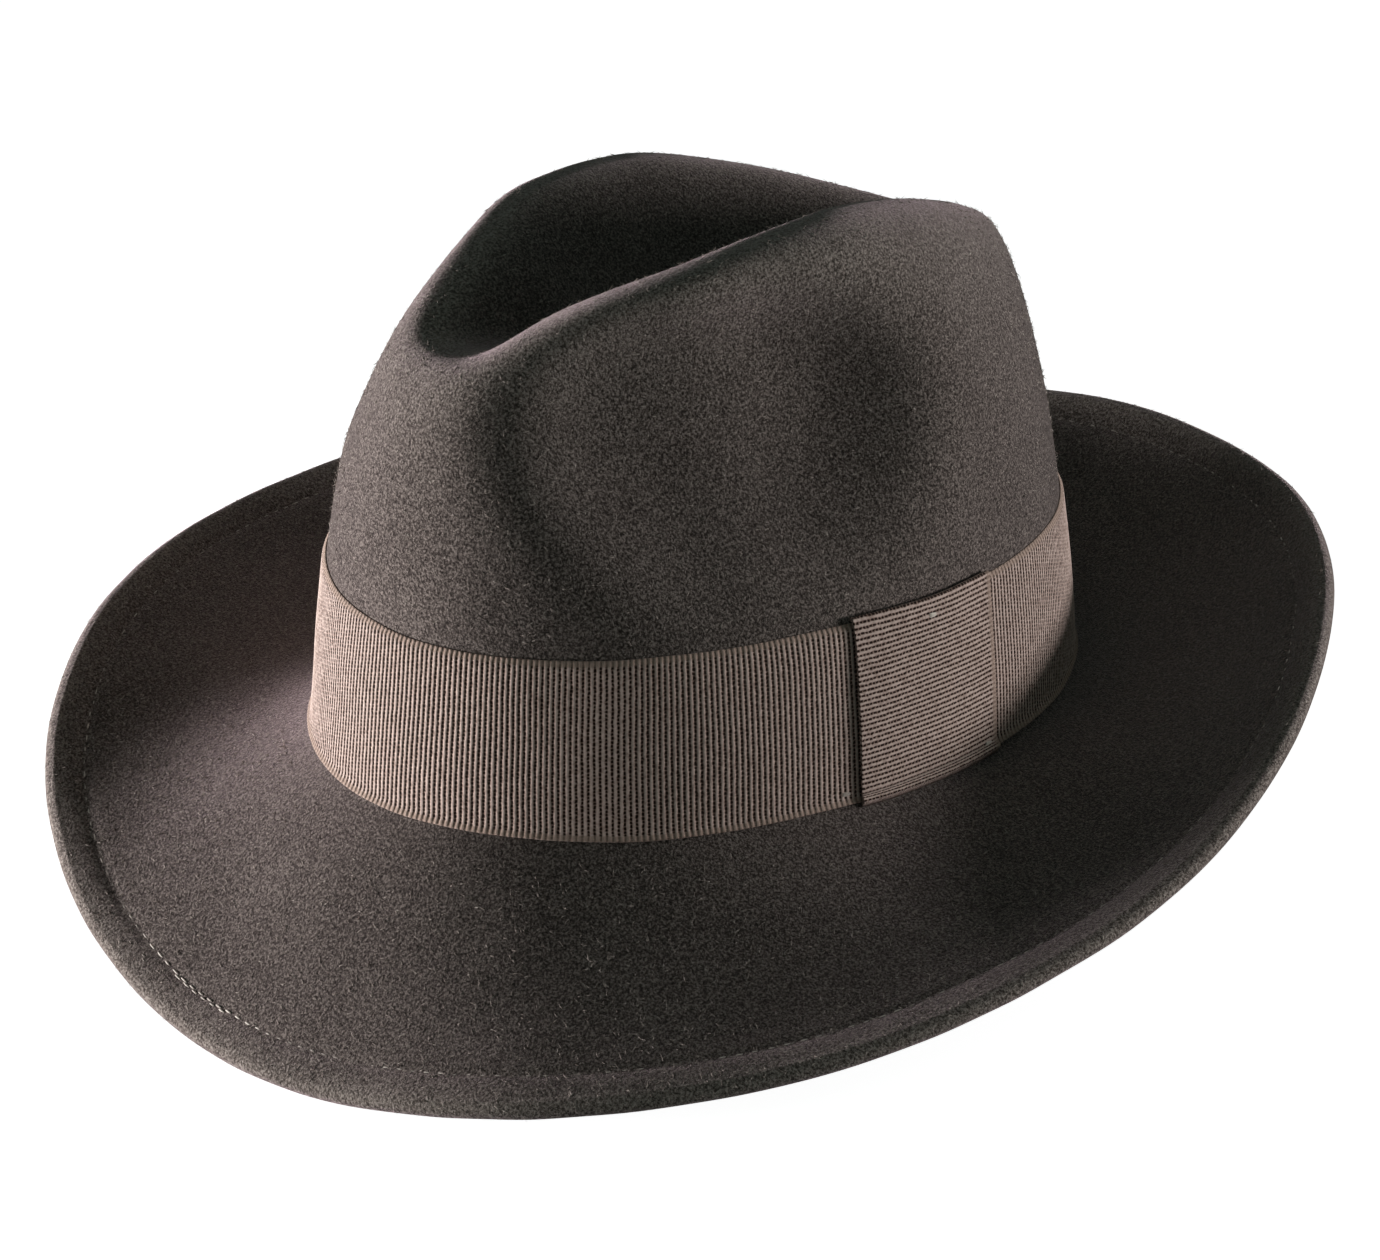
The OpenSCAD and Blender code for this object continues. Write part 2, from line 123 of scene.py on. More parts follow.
def round_hat(values, a):
    """Smooth curve through values spaced evenly round the hat."""
    values = np.asarray(values, float)
    place = (np.asarray(a, float) % 360) * len(values) / 360
    first = np.floor(place).astype(int)
    t = place - first
    v0, v1, v2, v3 = (values[(first + step) % len(values)] for step in (-1, 0, 1, 2))
    m1, m2 = (v2 - v0) / 2, (v3 - v1) / 2
    return ((2 * t**3 - 3 * t**2 + 1) * v1 + (t**3 - 2 * t**2 + t) * m1
            + (3 * t**2 - 2 * t**3) * v2 + (t**3 - t**2) * m2)


def oval(a):
    return vec(HALF_WIDTH * sind(a), -HALF_LENGTH * cosd(a))


def outward(a):
    n = vec(sind(a) / HALF_WIDTH, -cosd(a) / HALF_LENGTH)
    return n / np.linalg.norm(n, axis=-1, keepdims=True)


def brim_line(a):
    return -BRIM_LINE_RISE / 2 * cosd(2 * np.asarray(a, float))


def oval_turn(a, distance):
    return math.degrees(distance / math.hypot(HALF_WIDTH * cosd(a), HALF_LENGTH * sind(a)))


def pinched(p):
    """Points moved by the hollows pressed into the front."""
    x, y, z = p[..., 0], p[..., 1], p[..., 2]
    behind, above = y - (PINCH_SETBACK - HALF_LENGTH), z - PINCH_HEIGHT
    along = (behind - np.clip(behind, 0, PINCH_FLAT)) / PINCH_REACH
    up = above / np.where(above > 0, PINCH_RISE, PINCH_FALL)
    push = PINCH_DEPTH * np.exp(-(along**2 + up**2) ** PINCH_FIRMNESS) * eased(0, PINCH_FADE, np.abs(x))
    return vec(x - np.sign(x) * push, y, z)


def rim(a):
    front_fall = (RIDGE_HEIGHT - TIP_HEIGHT) * np.maximum(cosd(a), 0) ** RIDGE_HOLD_FRONT
    back_fall = (RIDGE_HEIGHT - TAIL_HEIGHT) * np.maximum(-cosd(a), 0) ** RIDGE_HOLD_BACK
    uneven = RIDGE_UNEVEN / 2 * sind(a) * (1 - cosd(a))
    return vec(RIDGE_SPACING / 2 * sind(a) * (1 + RIDGE_FORWARD * cosd(a)),
               DENT_MIDDLE - DENT_REACH * cosd(a), RIDGE_HEIGHT - front_fall - back_fall + uneven)


def fullness(a):
    return (SIDE_FULLNESS + (FRONT_FULLNESS - SIDE_FULLNESS) * np.maximum(cosd(a), 0) ** 2
            + (BACK_FULLNESS - SIDE_FULLNESS) * np.maximum(-cosd(a), 0) ** 2)


def crown(a, k):
    """Crown's outside: k is 0 at the wall's foot, 90 at the rim, 180 on the floor, 200 at the crease."""
    a, k = np.broadcast_arrays(np.asarray(a, float), np.asarray(k, float))
    top, foot, power = rim(a), brim_line(a) + BREAK_RADIUS, 2 / fullness(a)
    climb = np.clip(k, 0, 90)
    rise, run = sind(climb) ** power, np.clip(cosd(climb), 0, 1) ** power
    z = foot + (top[..., 2] - foot) * rise
    wall = oval(a) - outward(a) * (math.tan(math.radians(WALL_LEAN)) * (z - foot))[..., None]
    side = pinched(vec(top[..., 0] + (wall[..., 0] - top[..., 0]) * run,
                       top[..., 1] + (wall[..., 1] - top[..., 1]) * run, z))
    edge, v = pinched(top), np.clip((k - 90) / 90, 0, 1)
    floor_x = DENT_FLOOR_WIDTH / 2 * sind(a) * np.clip((200 - k) / 20, 0, 1)
    floor_y = DENT_MIDDLE - DENT_LENGTH / 2 * cosd(a)
    dent = vec(edge[..., 0] + (floor_x - edge[..., 0]) * v, edge[..., 1] + (floor_y - edge[..., 1]) * v,
               DENT_FLOOR + (edge[..., 2] - DENT_FLOOR) * (1 + cosd(180 * v)) / 2)
    return np.where((k <= 90)[..., None], side, dent)


def crown_off(a, k, off):
    a, k = np.broadcast_arrays(np.asarray(a, float), np.asarray(k, float))
    near = np.minimum(k, 180)
    around = crown(a + 1, near) - crown(a - 1, near)
    along = crown(a, np.minimum(near + 1, 180)) - crown(a, np.maximum(near - 1, 0))
    n = np.cross(around, along)
    return crown(a, k) + n / np.linalg.norm(n, axis=-1, keepdims=True) * np.asarray(off, float)[..., None]


def section_point(a, u, z):
    p = oval(a) + outward(a) * np.asarray(u)[..., None]
    return vec(p[..., 0], p[..., 1], brim_line(a) + z)


def curl(a):
    from_snap = (np.asarray(a, float) - SNAP_ANGLE + 180) % 360 - 180
    return ((CURL_FRONT + CURL_BACK + 2 * CURL_SIDE) / 4 + (CURL_FRONT - CURL_BACK) / 2 * cosd(a)
            + (CURL_FRONT + CURL_BACK - 2 * CURL_SIDE) / 4 * cosd(2 * a)
            + CURL_SNAP * np.exp(-(from_snap / SNAP_SPREAD) ** 2))


def bend_at(a, angle, off):
    r = BREAK_RADIUS - np.asarray(off, float)
    return section_point(a, BREAK_RADIUS + r * cosd(angle), BREAK_RADIUS + r * sind(angle))


def bend(a, t, off):
    return bend_at(a, 180 + (90 + round_hat(BRIM_SLOPES, a) - curl(a) / 2) * t, off)


def brim_controls(a):
    """Four control points of the brim's upper face, outward and up from the bend, and their reach."""
    slope = round_hat(BRIM_SLOPES, a)
    first, last = slope - curl(a) / 2, slope + curl(a) / 2
    width = ((BRIM_WIDTH_FRONT + BRIM_WIDTH_SIDE) / 2
             + (BRIM_WIDTH_FRONT - BRIM_WIDTH_SIDE) / 2 * cosd(2 * a))
    start = BREAK_RADIUS * vec(1 + sind(first), 1 - cosd(first))
    end = (width - FOLD_THICKNESS / 2)[..., None] * vec(cosd(slope), sind(slope))
    reach = np.linalg.norm(end - start, axis=-1)
    handle = (reach / 3)[..., None]
    return (start, start + handle * vec(cosd(first), sind(first)),
            end - handle * vec(cosd(last), sind(last)), end, reach)


def brim(a, t, depth):
    """Brim: t is 0 at the bend and 1 at the edge, depth is down from its upper face."""
    a, t = np.broadcast_arrays(np.asarray(a, float), np.asarray(t, float))
    g0, g1, g2, g3 = brim_controls(a)[:4]
    s = t[..., None]
    p = (1 - s) ** 3 * g0 + 3 * s * (1 - s) ** 2 * g1 + 3 * s**2 * (1 - s) * g2 + s**3 * g3
    d = (1 - s) ** 2 * (g1 - g0) + 2 * s * (1 - s) * (g2 - g1) + s**2 * (g3 - g2)
    d = d / np.linalg.norm(d, axis=-1, keepdims=True)
    return section_point(a, p[..., 0] + depth * d[..., 1], p[..., 1] - depth * d[..., 0])


def brim_step(a, inset):
    return 1 - (inset - FOLD_THICKNESS / 2) / brim_controls(np.asarray(a, float))[4]


def brim_edge(a, angle):
    g2, g3 = brim_controls(a)[2:4]
    out = (g3 - g2) / np.linalg.norm(g3 - g2, axis=-1, keepdims=True)
    up, r = vec(-out[..., 1], out[..., 0]), FOLD_THICKNESS / 2
    p = g3 - up * r + up * r * cosd(angle) + out * r * sind(angle)
    return section_point(a, p[..., 0], p[..., 1])


def at_rest(points):
    """Points of the upright hat, in millimetres, tipped back onto the table, in metres."""
    x, y, z = points[..., 0], points[..., 1], points[..., 2]
    c, s = cosd(HAT_TIP), sind(HAT_TIP)
    return (vec(x, y * c + z * s, z * c - y * s) + HAT_PLACE) / 1000


noise.seed_set(8)


def hand_blocked(points):
    """The slight unevenness of felt that was shaped by hand, shared by everything that lies on it."""
    flat = points.reshape(-1, 3)
    moved = []
    for p in flat:
        slow, quick = (noise.noise_vector(Vector(p) / span) for span in (UNEVEN_SPAN, RIPPLE_SPAN))
        moved.append(slow * UNEVENNESS + quick * UNEVENNESS / 3)
    return (flat + np.array(moved)).reshape(points.shape)


def laid(name, points, uv=None):
    """A grid laid over a form: rows of places on the upright hat, and the same rows of a map in uv."""
    rows, columns = points.shape[:2]
    places = at_rest(hand_blocked(points))
    bm = bmesh.new()
    bmesh.ops.create_grid(bm, x_segments=columns - 1, y_segments=rows - 1, size=0.5)
    layer = bm.loops.layers.uv.new("UVMap")
    spot = {v: (round((v.co.y + 0.5) * (rows - 1)), round((v.co.x + 0.5) * (columns - 1)))
            for v in bm.verts}
    if uv is not None:
        for face in bm.faces:
            for loop in face.loops:
                loop[layer].uv = uv[spot[loop.vert]]
    for v, (row, column) in spot.items():
        v.co = places[row, column]
    bmesh.ops.remove_doubles(bm, verts=bm.verts, dist=1e-6)
    bmesh.ops.holes_fill(bm, edges=[edge for edge in bm.edges if edge.is_boundary])
    bmesh.ops.recalc_face_normals(bm, faces=bm.faces)
    return made(name, bm)


def made(name, bm):
    for face in bm.faces:
        face.smooth = True
    mesh = bpy.data.meshes.new(name)
    bm.to_mesh(mesh)
    bm.free()
    piece = bpy.data.objects.new(name, mesh)
    bpy.context.scene.collection.objects.link(piece)
    return piece


def colour(code):
    """An sRGB hex colour as linear red, green, blue and alpha."""
    parts = [int(code[i:i + 2], 16) / 255 for i in (1, 3, 5)]
    return [c / 12.92 if c <= 0.04045 else ((c + 0.055) / 1.055) ** 2.4 for c in parts] + [1]


def add(material, kind, settings={}, links={}):
    """Adds a shader node with its properties, socket values or ramp stops, and links its sockets."""
    node = material.node_tree.nodes.new(kind)
    for key, value in settings.items():
        if key == "stops":
            elements = node.color_ramp.elements
            while len(elements) < len(value):
                elements.new(0.5)
            for element, (place, tint) in zip(elements, value):
                element.position, element.color = place, colour(tint)
        elif isinstance(key, str) and hasattr(node, key):
            setattr(node, key, value)
        else:
            node.inputs[key].default_value = value
    for key, output in links.items():
        material.node_tree.links.new(output, node.inputs[key])
    return node


def finish_named(name):
    material = bpy.data.materials.new(name)
    material.use_nodes = True
    material.node_tree.nodes.clear()
    return material


# Wool felt, brushed: a dense mat of short fibres that stands up as a fine nap, matt face on and pale at a
# glance. Its grain is 0.65 mm across and its fibres 0.4 mm, drawn coarse enough to show. The map's X says
# where a paler tone is painted in: painted sheen, standing in for the light the nap catches at the dent's
# rim and the brim's edge roll.
wool_felt = finish_named("wool_felt")
where = add(wool_felt, "ShaderNodeTexCoord").outputs["Object"]
nap = add(wool_felt, "ShaderNodeTexNoise", {"Scale": 1000 / 0.65, "Detail": 2, "Roughness": 0.7},
          {"Vector": where})
fibre = add(wool_felt, "ShaderNodeTexNoise", {"Scale": 1000 / 0.4, "Detail": 2, "Distortion": 1.0},
            {"Vector": where})
patch = add(wool_felt, "ShaderNodeTexNoise", {"Scale": 1000 / 28, "Detail": 2}, {"Vector": where})
napped = add(wool_felt, "ShaderNodeMath", {"operation": "MULTIPLY", 1: 0.6}, {0: nap.outputs["Fac"]})
grain = add(wool_felt, "ShaderNodeMath", {"operation": "MULTIPLY_ADD", 1: 0.35},
            {0: fibre.outputs["Fac"], 2: napped.outputs[0]})
tone = add(wool_felt, "ShaderNodeMath", {"operation": "MULTIPLY_ADD", 1: 0.05},
           {0: patch.outputs["Fac"], 2: grain.outputs[0]})
wool = add(wool_felt, "ShaderNodeValToRGB",
           {"stops": [(0.4, "#2d2825"), (0.5, "#574e4a"), (0.6, "#8b7f79")]}, {"Fac": tone.outputs[0]})
# Painted sheen: the map's X mixes the paler tone over the grain, as a painted highlight at the rim, the
# edge roll and on the loose fibres.
painted_sheen_map = add(wool_felt, "ShaderNodeSeparateXYZ", {},
            {"Vector": add(wool_felt, "ShaderNodeUVMap").outputs["UV"]})
painted_sheen_tone = add(wool_felt, "ShaderNodeValToRGB",
            {"stops": [(0.4, "#5f5650"), (0.5, "#a3968d"), (0.6, "#cdc1b8")]}, {"Fac": tone.outputs[0]})
grain_and_painted_sheen = add(wool_felt, "ShaderNodeMix", {"data_type": "RGBA"},
              {0: painted_sheen_map.outputs["X"], 6: wool.outputs["Color"], 7: painted_sheen_tone.outputs["Color"]})
wool_bump = add(wool_felt, "ShaderNodeBump", {"Strength": 0.8, "Distance": 0.0008},
                {"Height": grain.outputs[0]})
wool_face = add(wool_felt, "ShaderNodeBsdfPrincipled",
                {"Roughness": 0.95, "Specular IOR Level": 0.0, "Sheen Weight": 1.0, "Sheen Roughness": 0.35,
                 "Sheen Tint": colour("#dac0c6")},
                {"Base Color": grain_and_painted_sheen.outputs[2], "Normal": wool_bump.outputs["Normal"]})
add(wool_felt, "ShaderNodeOutputMaterial", {}, {"Surface": wool_face.outputs["BSDF"]})


def felt_rows(a):
    """The felt from the dent's crease, out to the brim's edge, and back underneath to the crease."""
    r = FOLD_THICKNESS / 2
    inside = np.full_like(a, -FELT_THICKNESS)
    rows = [crown(a, k) for k in (200, 193, 186)]
    rows += [crown(a, k) for k in np.linspace(180, 92, 28)]
    rows += [crown(a, k) for k in 90 * np.linspace(1, 0, 45) ** 1.5]
    rows += [bend(a, t, np.zeros_like(a)) for t in np.linspace(0, 1, 9)[1:-1]]
    rows += [brim(a, brim_step(a, EDGE_ZONE) * t, 0) for t in np.linspace(0, 1, 24)[:-1]]
    for inset in np.linspace(EDGE_ZONE, r, 27):
        groove = GROOVE_DEPTH * math.exp(-((inset - STITCH_INSET) / GROOVE_WIDTH) ** 2)
        swell = EDGE_SWELL * float(eased(STITCH_INSET, STITCH_INSET - 5, inset))
        rows.append(brim(a, brim_step(a, inset), groove - swell))
    rows += [brim_edge(a, angle) for angle in np.linspace(0, 180, 15)[1:]]
    for inset in np.linspace(r, EDGE_FOLD - LIP_RADIUS, 9)[1:]:
        bulge = FOLD_BULGE * math.sin(math.pi * inset / EDGE_FOLD)
        rows.append(brim(a, brim_step(a, inset), FOLD_THICKNESS + bulge))
    for turn in (30, 60, 90):
        inset = EDGE_FOLD - LIP_RADIUS * (1 - math.sin(math.radians(turn)))
        depth = FOLD_THICKNESS - LIP_RADIUS * (1 - math.cos(math.radians(turn)))
        rows.append(brim(a, brim_step(a, inset), depth))
    rows.append(brim(a, brim_step(a, EDGE_FOLD + 0.1), FELT_THICKNESS))
    rows += [brim(a, brim_step(a, EDGE_FOLD + 0.6) * t, FELT_THICKNESS) for t in np.linspace(1, 0, 13)]
    rows += [bend(a, t, inside) for t in np.linspace(1, 0, 6)[1:-1]]
    rows += [crown_off(a, k, inside) for k in 90 * np.linspace(0, 1, 17) ** 1.3]
    rows += [crown_off(a, k, inside) for k in (98, 108, 120, 132, 144, 156, 168, 180, 200)]
    return np.stack(rows)


# Painted sheen: a paler tone is painted where the felt turns over the dent's rim and rolls over the brim's
# edge, and faintly over the brim beside the roll, as painted highlight for the light the nap catches there.
AROUND = 320
RIM_ROW, ROLL_ROW = 31, 136
RIM_SHEEN_PAINT, ROLL_SHEEN_PAINT, BRIM_SHEEN_PAINT = 0.42, 0.28, 0.08
felt_places = felt_rows(np.linspace(0, 360, AROUND + 1))
painted_sheen = np.zeros(felt_places.shape[:2] + (2,))
for row in range(ROLL_ROW + 8):
    from_rim, from_roll = row - RIM_ROW, row - ROLL_ROW
    painted_sheen[row, :, 0] = (RIM_SHEEN_PAINT * math.exp(-(from_rim / (4.5 if from_rim < 0 else 11)) ** 2)
                         + ROLL_SHEEN_PAINT * math.exp(-(from_roll / 8) ** 2)
                         + BRIM_SHEEN_PAINT * math.exp(-(from_roll / 20) ** 2))
felt = laid("felt_body_soft", felt_places, painted_sheen)

# Loose fibres of the nap, each a fine needle, rise off the upper face where no ribbon lies.
FIBRE_LENGTH = 1.6
FIBRE_SIZE = 0.18
FIBRE_DOUBLINGS = 14
FIBRE_ROOT = 0.05
UPPER_ROWS = 138
BARE_ABOVE = 51
BARE_BEYOND = 1.07
chance = np.random.default_rng(5)
faces = felt.data.polygons[:UPPER_ROWS * AROUND]
middles = np.array([face.center for face in faces])
x, y, z = (middles * 1000 - HAT_PLACE).T
upright = vec(x, y * cosd(HAT_TIP) - z * sind(HAT_TIP), z * cosd(HAT_TIP) + y * sind(HAT_TIP))
ovals_out = np.hypot(upright[:, 0] / HALF_WIDTH, upright[:, 1] / HALF_LENGTH)
bare = (upright[:, 2] > BARE_ABOVE) | (ovals_out > BARE_BEYOND)
share = np.array([face.area for face in faces]) * bare
bm = bmesh.new()
layer = bm.loops.layers.uv.new("UVMap")
bmesh.ops.create_cone(bm, cap_ends=True, segments=3, radius1=0.5, radius2=0, depth=1)
for _ in range(FIBRE_DOUBLINGS):
    bmesh.ops.duplicate(bm, geom=[*bm.verts, *bm.edges, *bm.faces])
# Painted sheen: every fibre takes the full paler tone, a painted highlight for the light the loose fibres
# catch.
for face in bm.faces:
    for loop in face.loops:
        loop[layer].uv = (1, 0)
picked = chance.choice(len(faces), 2**FIBRE_DOUBLINGS, p=share / share.sum())
placed = set()
for v in bm.verts:
    if v not in placed:
        face = faces[int(picked[len(placed) // 4])]
        corners = [felt.data.vertices[i].co for i in face.vertices]
        spot = corners[0].lerp(corners[1], chance.random()).lerp(corners[2], chance.random())
        lean = Vector(chance.normal(size=3)).cross(face.normal).normalized()
        lean += face.normal * chance.uniform(0.1, 0.75)
        size = Matrix.Diagonal((FIBRE_SIZE, FIBRE_SIZE, FIBRE_LENGTH * chance.uniform(0.6, 1.3)))
        grow = lean.to_track_quat("Z", "Y").to_matrix() @ size * 0.001
        needle = {v, *(edge.other_vert(v) for edge in v.link_edges)}
        for corner in needle:
            corner.co = spot + grow @ (corner.co + Vector((0, 0, 0.5 - FIBRE_ROOT)))
        placed |= needle
fibres = bpy.data.meshes.new("fibres")
bm.to_mesh(fibres)
bm.clear()
bm.from_mesh(felt.data)
bm.from_mesh(fibres)
bm.to_mesh(felt.data)
bm.free()
felt.data.materials.append(wool_felt)
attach(felt, "root")
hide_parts("felt_body")


# Brim stitches
# One row of sewing thread holds the turned edge, in a shallow groove, nearly sunk in the nap. Each stitch
# dives into the felt at both ends. The row starts and ends at the front, so it is sewn twice and stands
# proud there.
STITCH_LENGTH = 2.4
STITCH_SPACE = 1.4
THREAD_SIZE = 0.5
DOUBLED_FROM, DOUBLED_TO, DOUBLED_FADE = -3, 5, 7
DOUBLED_ASIDE = 0.6
rng = random.Random(7)


def sew(bm, start, end, thick):
    """One stitch between two places: a spindle of thread whose ends dive into the cloth."""
    first, last = (Vector(p) for p in at_rest(hand_blocked(np.array([start, end]))))
    run = last - first
    turn = run.to_track_quat("Z", "Y").to_matrix().to_4x4()
    size = Matrix.Diagonal((thick / 2000, thick / 2000, run.length / 2, 1))
    bmesh.ops.create_uvsphere(bm, u_segments=8, v_segments=6, radius=1,
                              matrix=Matrix.Translation((first + last) / 2) @ turn @ size)


def brim_place(a, inset, depth):
    a = np.array([float(a)])
    return brim(a, brim_step(a, inset), depth)[0]


bm = bmesh.new()
across = CROWN_WIDTH + 2 * (BRIM_WIDTH_SIDE - STITCH_INSET)
along = CROWN_LENGTH + 2 * (BRIM_WIDTH_FRONT - STITCH_INSET)
count = int(math.pi * (across + along) / 2 / (STITCH_LENGTH + STITCH_SPACE))
share = STITCH_LENGTH / (STITCH_LENGTH + STITCH_SPACE)
for i in range(count):
    a = 360 * i / count
    span = 360 / count * share * rng.uniform(0.85, 1.12)
    drift = rng.uniform(-0.12, 0.12)
    front = (a + 180) % 360 - 180
    proud = float(eased(DOUBLED_FROM - DOUBLED_FADE, DOUBLED_FROM, front)
                  * eased(DOUBLED_TO + DOUBLED_FADE, DOUBLED_TO, front))
    depth = GROOVE_DEPTH + THREAD_SIZE * (rng.uniform(0.28, 0.46) - 0.55 * proud)
    inset = STITCH_INSET + drift
    sew(bm, brim_place(a, inset, depth), brim_place(a + span, inset, depth), THREAD_SIZE)
    if DOUBLED_FROM < front < DOUBLED_TO:
        second, inset = a + 360 / count * 0.45, STITCH_INSET - DOUBLED_ASIDE
        sew(bm, brim_place(second, inset, depth), brim_place(second + span, inset, depth), THREAD_SIZE)
stitches = made("brim_stitches_sewn", bm)

# Spun polyester thread: pale, slightly glossy, with felt fibres drawn over it here and there.
edge_thread = finish_named("edge_thread")
where = add(edge_thread, "ShaderNodeTexCoord").outputs["Object"]
drawn = add(edge_thread, "ShaderNodeTexNoise", {"Scale": 1000 / 22, "Detail": 2}, {"Vector": where})
ply = add(edge_thread, "ShaderNodeTexNoise", {"Scale": 1000 / 0.5, "Detail": 1}, {"Vector": where})
pale = add(edge_thread, "ShaderNodeValToRGB", {"stops": [(0.35, "#8d8077"), (0.65, "#cbbfb4")]},
           {"Fac": drawn.outputs["Fac"]})
ply_bump = add(edge_thread, "ShaderNodeBump", {"Strength": 0.5, "Distance": 0.0002},
               {"Height": ply.outputs["Fac"]})
thread_face = add(edge_thread, "ShaderNodeBsdfPrincipled", {"Roughness": 0.6, "Sheen Weight": 0.2},
                  {"Base Color": pale.outputs["Color"], "Normal": ply_bump.outputs["Normal"]})
add(edge_thread, "ShaderNodeOutputMaterial", {}, {"Surface": thread_face.outputs["BSDF"]})
stitches.data.materials.append(edge_thread)
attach(stitches, "root")
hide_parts("brim_stitches")


# Ribbon band
# One length of grosgrain ribbon is drawn round the crown above the brim. Its ribs stand upright, crossed by
# fine warp threads, a smooth selvedge runs along each edge, and its ends meet under the keeper.
CLEARANCE = 0.3
RIBBON_WIDTH = 45
RIBBON_THICKNESS = 0.8
RIBBON_RISE = 1.2
RIBBON_TOP = RIBBON_RISE + RIBBON_WIDTH
RIB_PITCH = 1.4
RIB_HEIGHT = 0.24
RIB_STEPS = 6
WARP_PITCH = 1.0
SELVEDGE = 1.3
SNUG_ZONE, SNUG_FACE, SNUG_BACK = 1.6, 0.55, 0.2
JOINT_GAP = 1
KEEPER_ANGLE = 94.5


def wall_step(a, height):
    share = (height - BREAK_RADIUS) / (rim(a)[..., 2] - brim_line(a) - BREAK_RADIUS)
    return np.degrees(np.arcsin(np.clip(share, 0, 1) ** (fullness(a) / 2)))


def shell(a, height, off):
    """A place at a height over the brim line, on the wall or the bend under it, off from the felt."""
    a, height, off = np.broadcast_arrays(*(np.asarray(x, float) for x in (a, height, off)))
    low = np.clip(1 - height / BREAK_RADIUS, -1, 1)
    return np.where((height >= BREAK_RADIUS)[..., None], crown_off(a, wall_step(a, height), off),
                    bend_at(a, 180 + np.degrees(np.arcsin(low)), off))


def arc_angles(first, last, pitch):
    """Angles from first to last, spaced along the oval at about a pitch, and their distance along it."""
    fine = np.linspace(first, last, 4001)
    steps = np.linalg.norm(np.diff(oval(fine), axis=0), axis=1)
    run = np.concatenate([[0], np.cumsum(steps)])
    count = int(round(run[-1] / pitch))
    even = np.linspace(0, run[-1], count + 1)
    return np.interp(even, run, fine), even


half_gap = oval_turn(KEEPER_ANGLE, JOINT_GAP / 2)
turns, runs = arc_angles(KEEPER_ANGLE + half_gap, KEEPER_ANGLE + 360 - half_gap, RIB_PITCH / RIB_STEPS)
rib = np.abs(np.sin(np.pi * runs / RIB_PITCH)) ** 0.8
shares = np.array([0, 0.01, 0.03, *np.linspace(0.06, 0.94, 16), 0.97, 0.99, 1])
heights = RIBBON_RISE + RIBBON_WIDTH * shares
rows, maps = [], []
for height in heights[::-3]:
    snug = SNUG_BACK * float(eased(SNUG_ZONE, 0, RIBBON_TOP - height))
    rows.append(shell(turns, height, CLEARANCE - snug))
    maps.append(vec(runs, height - RIBBON_RISE - RIBBON_WIDTH / 2))
for height in heights:
    inside = min(height - RIBBON_RISE, RIBBON_TOP - height)
    swell = RIB_HEIGHT * (0.35 + 0.65 * float(eased(0, SELVEDGE, inside)))
    snug = SNUG_FACE * float(eased(SNUG_ZONE, 0, RIBBON_TOP - height))
    rows.append(shell(turns, height, CLEARANCE + RIBBON_THICKNESS - RIB_HEIGHT - snug + swell * rib))
    maps.append(vec(runs, height - RIBBON_RISE - RIBBON_WIDTH / 2))
band = laid("ribbon_band_woven", np.stack(rows + rows[:1]), np.stack(maps + maps[:1]))

# Grosgrain: viscose warp over thick cotton ribs. Each rib catches light along its crest, beaded by the warp
# threads that dip between the ribs in turn, and dark dots of painted shade are painted in the pits between
# neighbouring ribs. Its map is in millimetres, along the ribbon and across it, with 0 at the middle of its
# width.
grosgrain = finish_named("grosgrain")
flat_map = add(grosgrain, "ShaderNodeUVMap").outputs["UV"]
place = add(grosgrain, "ShaderNodeSeparateXYZ", {}, {"Vector": flat_map})
where = add(grosgrain, "ShaderNodeTexCoord").outputs["Object"]
wander = add(grosgrain, "ShaderNodeTexNoise", {"Scale": 1000 / 1.6, "Detail": 2}, {"Vector": where})
strayed = add(grosgrain, "ShaderNodeVectorMath", {"operation": "MULTIPLY_ADD", 1: (0.5, 1.1, 0)},
              {0: wander.outputs["Color"], 2: flat_map})
thread = add(grosgrain, "ShaderNodeSeparateXYZ", {}, {"Vector": strayed.outputs["Vector"]})
ribs = add(grosgrain, "ShaderNodeMath",
           {"operation": "MULTIPLY_ADD", 1: 1 / RIB_PITCH, 2: -0.25 / RIB_PITCH},
           {0: thread.outputs["X"]})
gap = add(grosgrain, "ShaderNodeMath", {"operation": "ROUND"}, {0: ribs.outputs[0]})
turned = add(grosgrain, "ShaderNodeMath", {"operation": "MULTIPLY", 1: math.pi}, {0: ribs.outputs[0]})
swing = add(grosgrain, "ShaderNodeMath", {"operation": "SINE"}, {0: turned.outputs[0]})
crest = add(grosgrain, "ShaderNodeMath", {"operation": "ABSOLUTE"}, {0: swing.outputs[0]})
hollow = add(grosgrain, "ShaderNodeMapRange",
             {"interpolation_type": "SMOOTHSTEP", 1: 0.25, 2: 0.95, 3: 1, 4: 0}, {0: crest.outputs[0]})
offset = add(grosgrain, "ShaderNodeMath", {"operation": "MULTIPLY_ADD", 1: 0.5 * WARP_PITCH},
             {0: gap.outputs[0], 2: thread.outputs["Y"]})
phase = add(grosgrain, "ShaderNodeMath", {"operation": "MULTIPLY", 1: 2 * math.pi / WARP_PITCH},
            {0: offset.outputs[0]})
warp_wave = add(grosgrain, "ShaderNodeMath", {"operation": "COSINE"}, {0: phase.outputs[0]})
between = add(grosgrain, "ShaderNodeMapRange", {1: -1.0, 2: -0.1, 3: 0.3, 4: 1}, {0: warp_wave.outputs[0]})
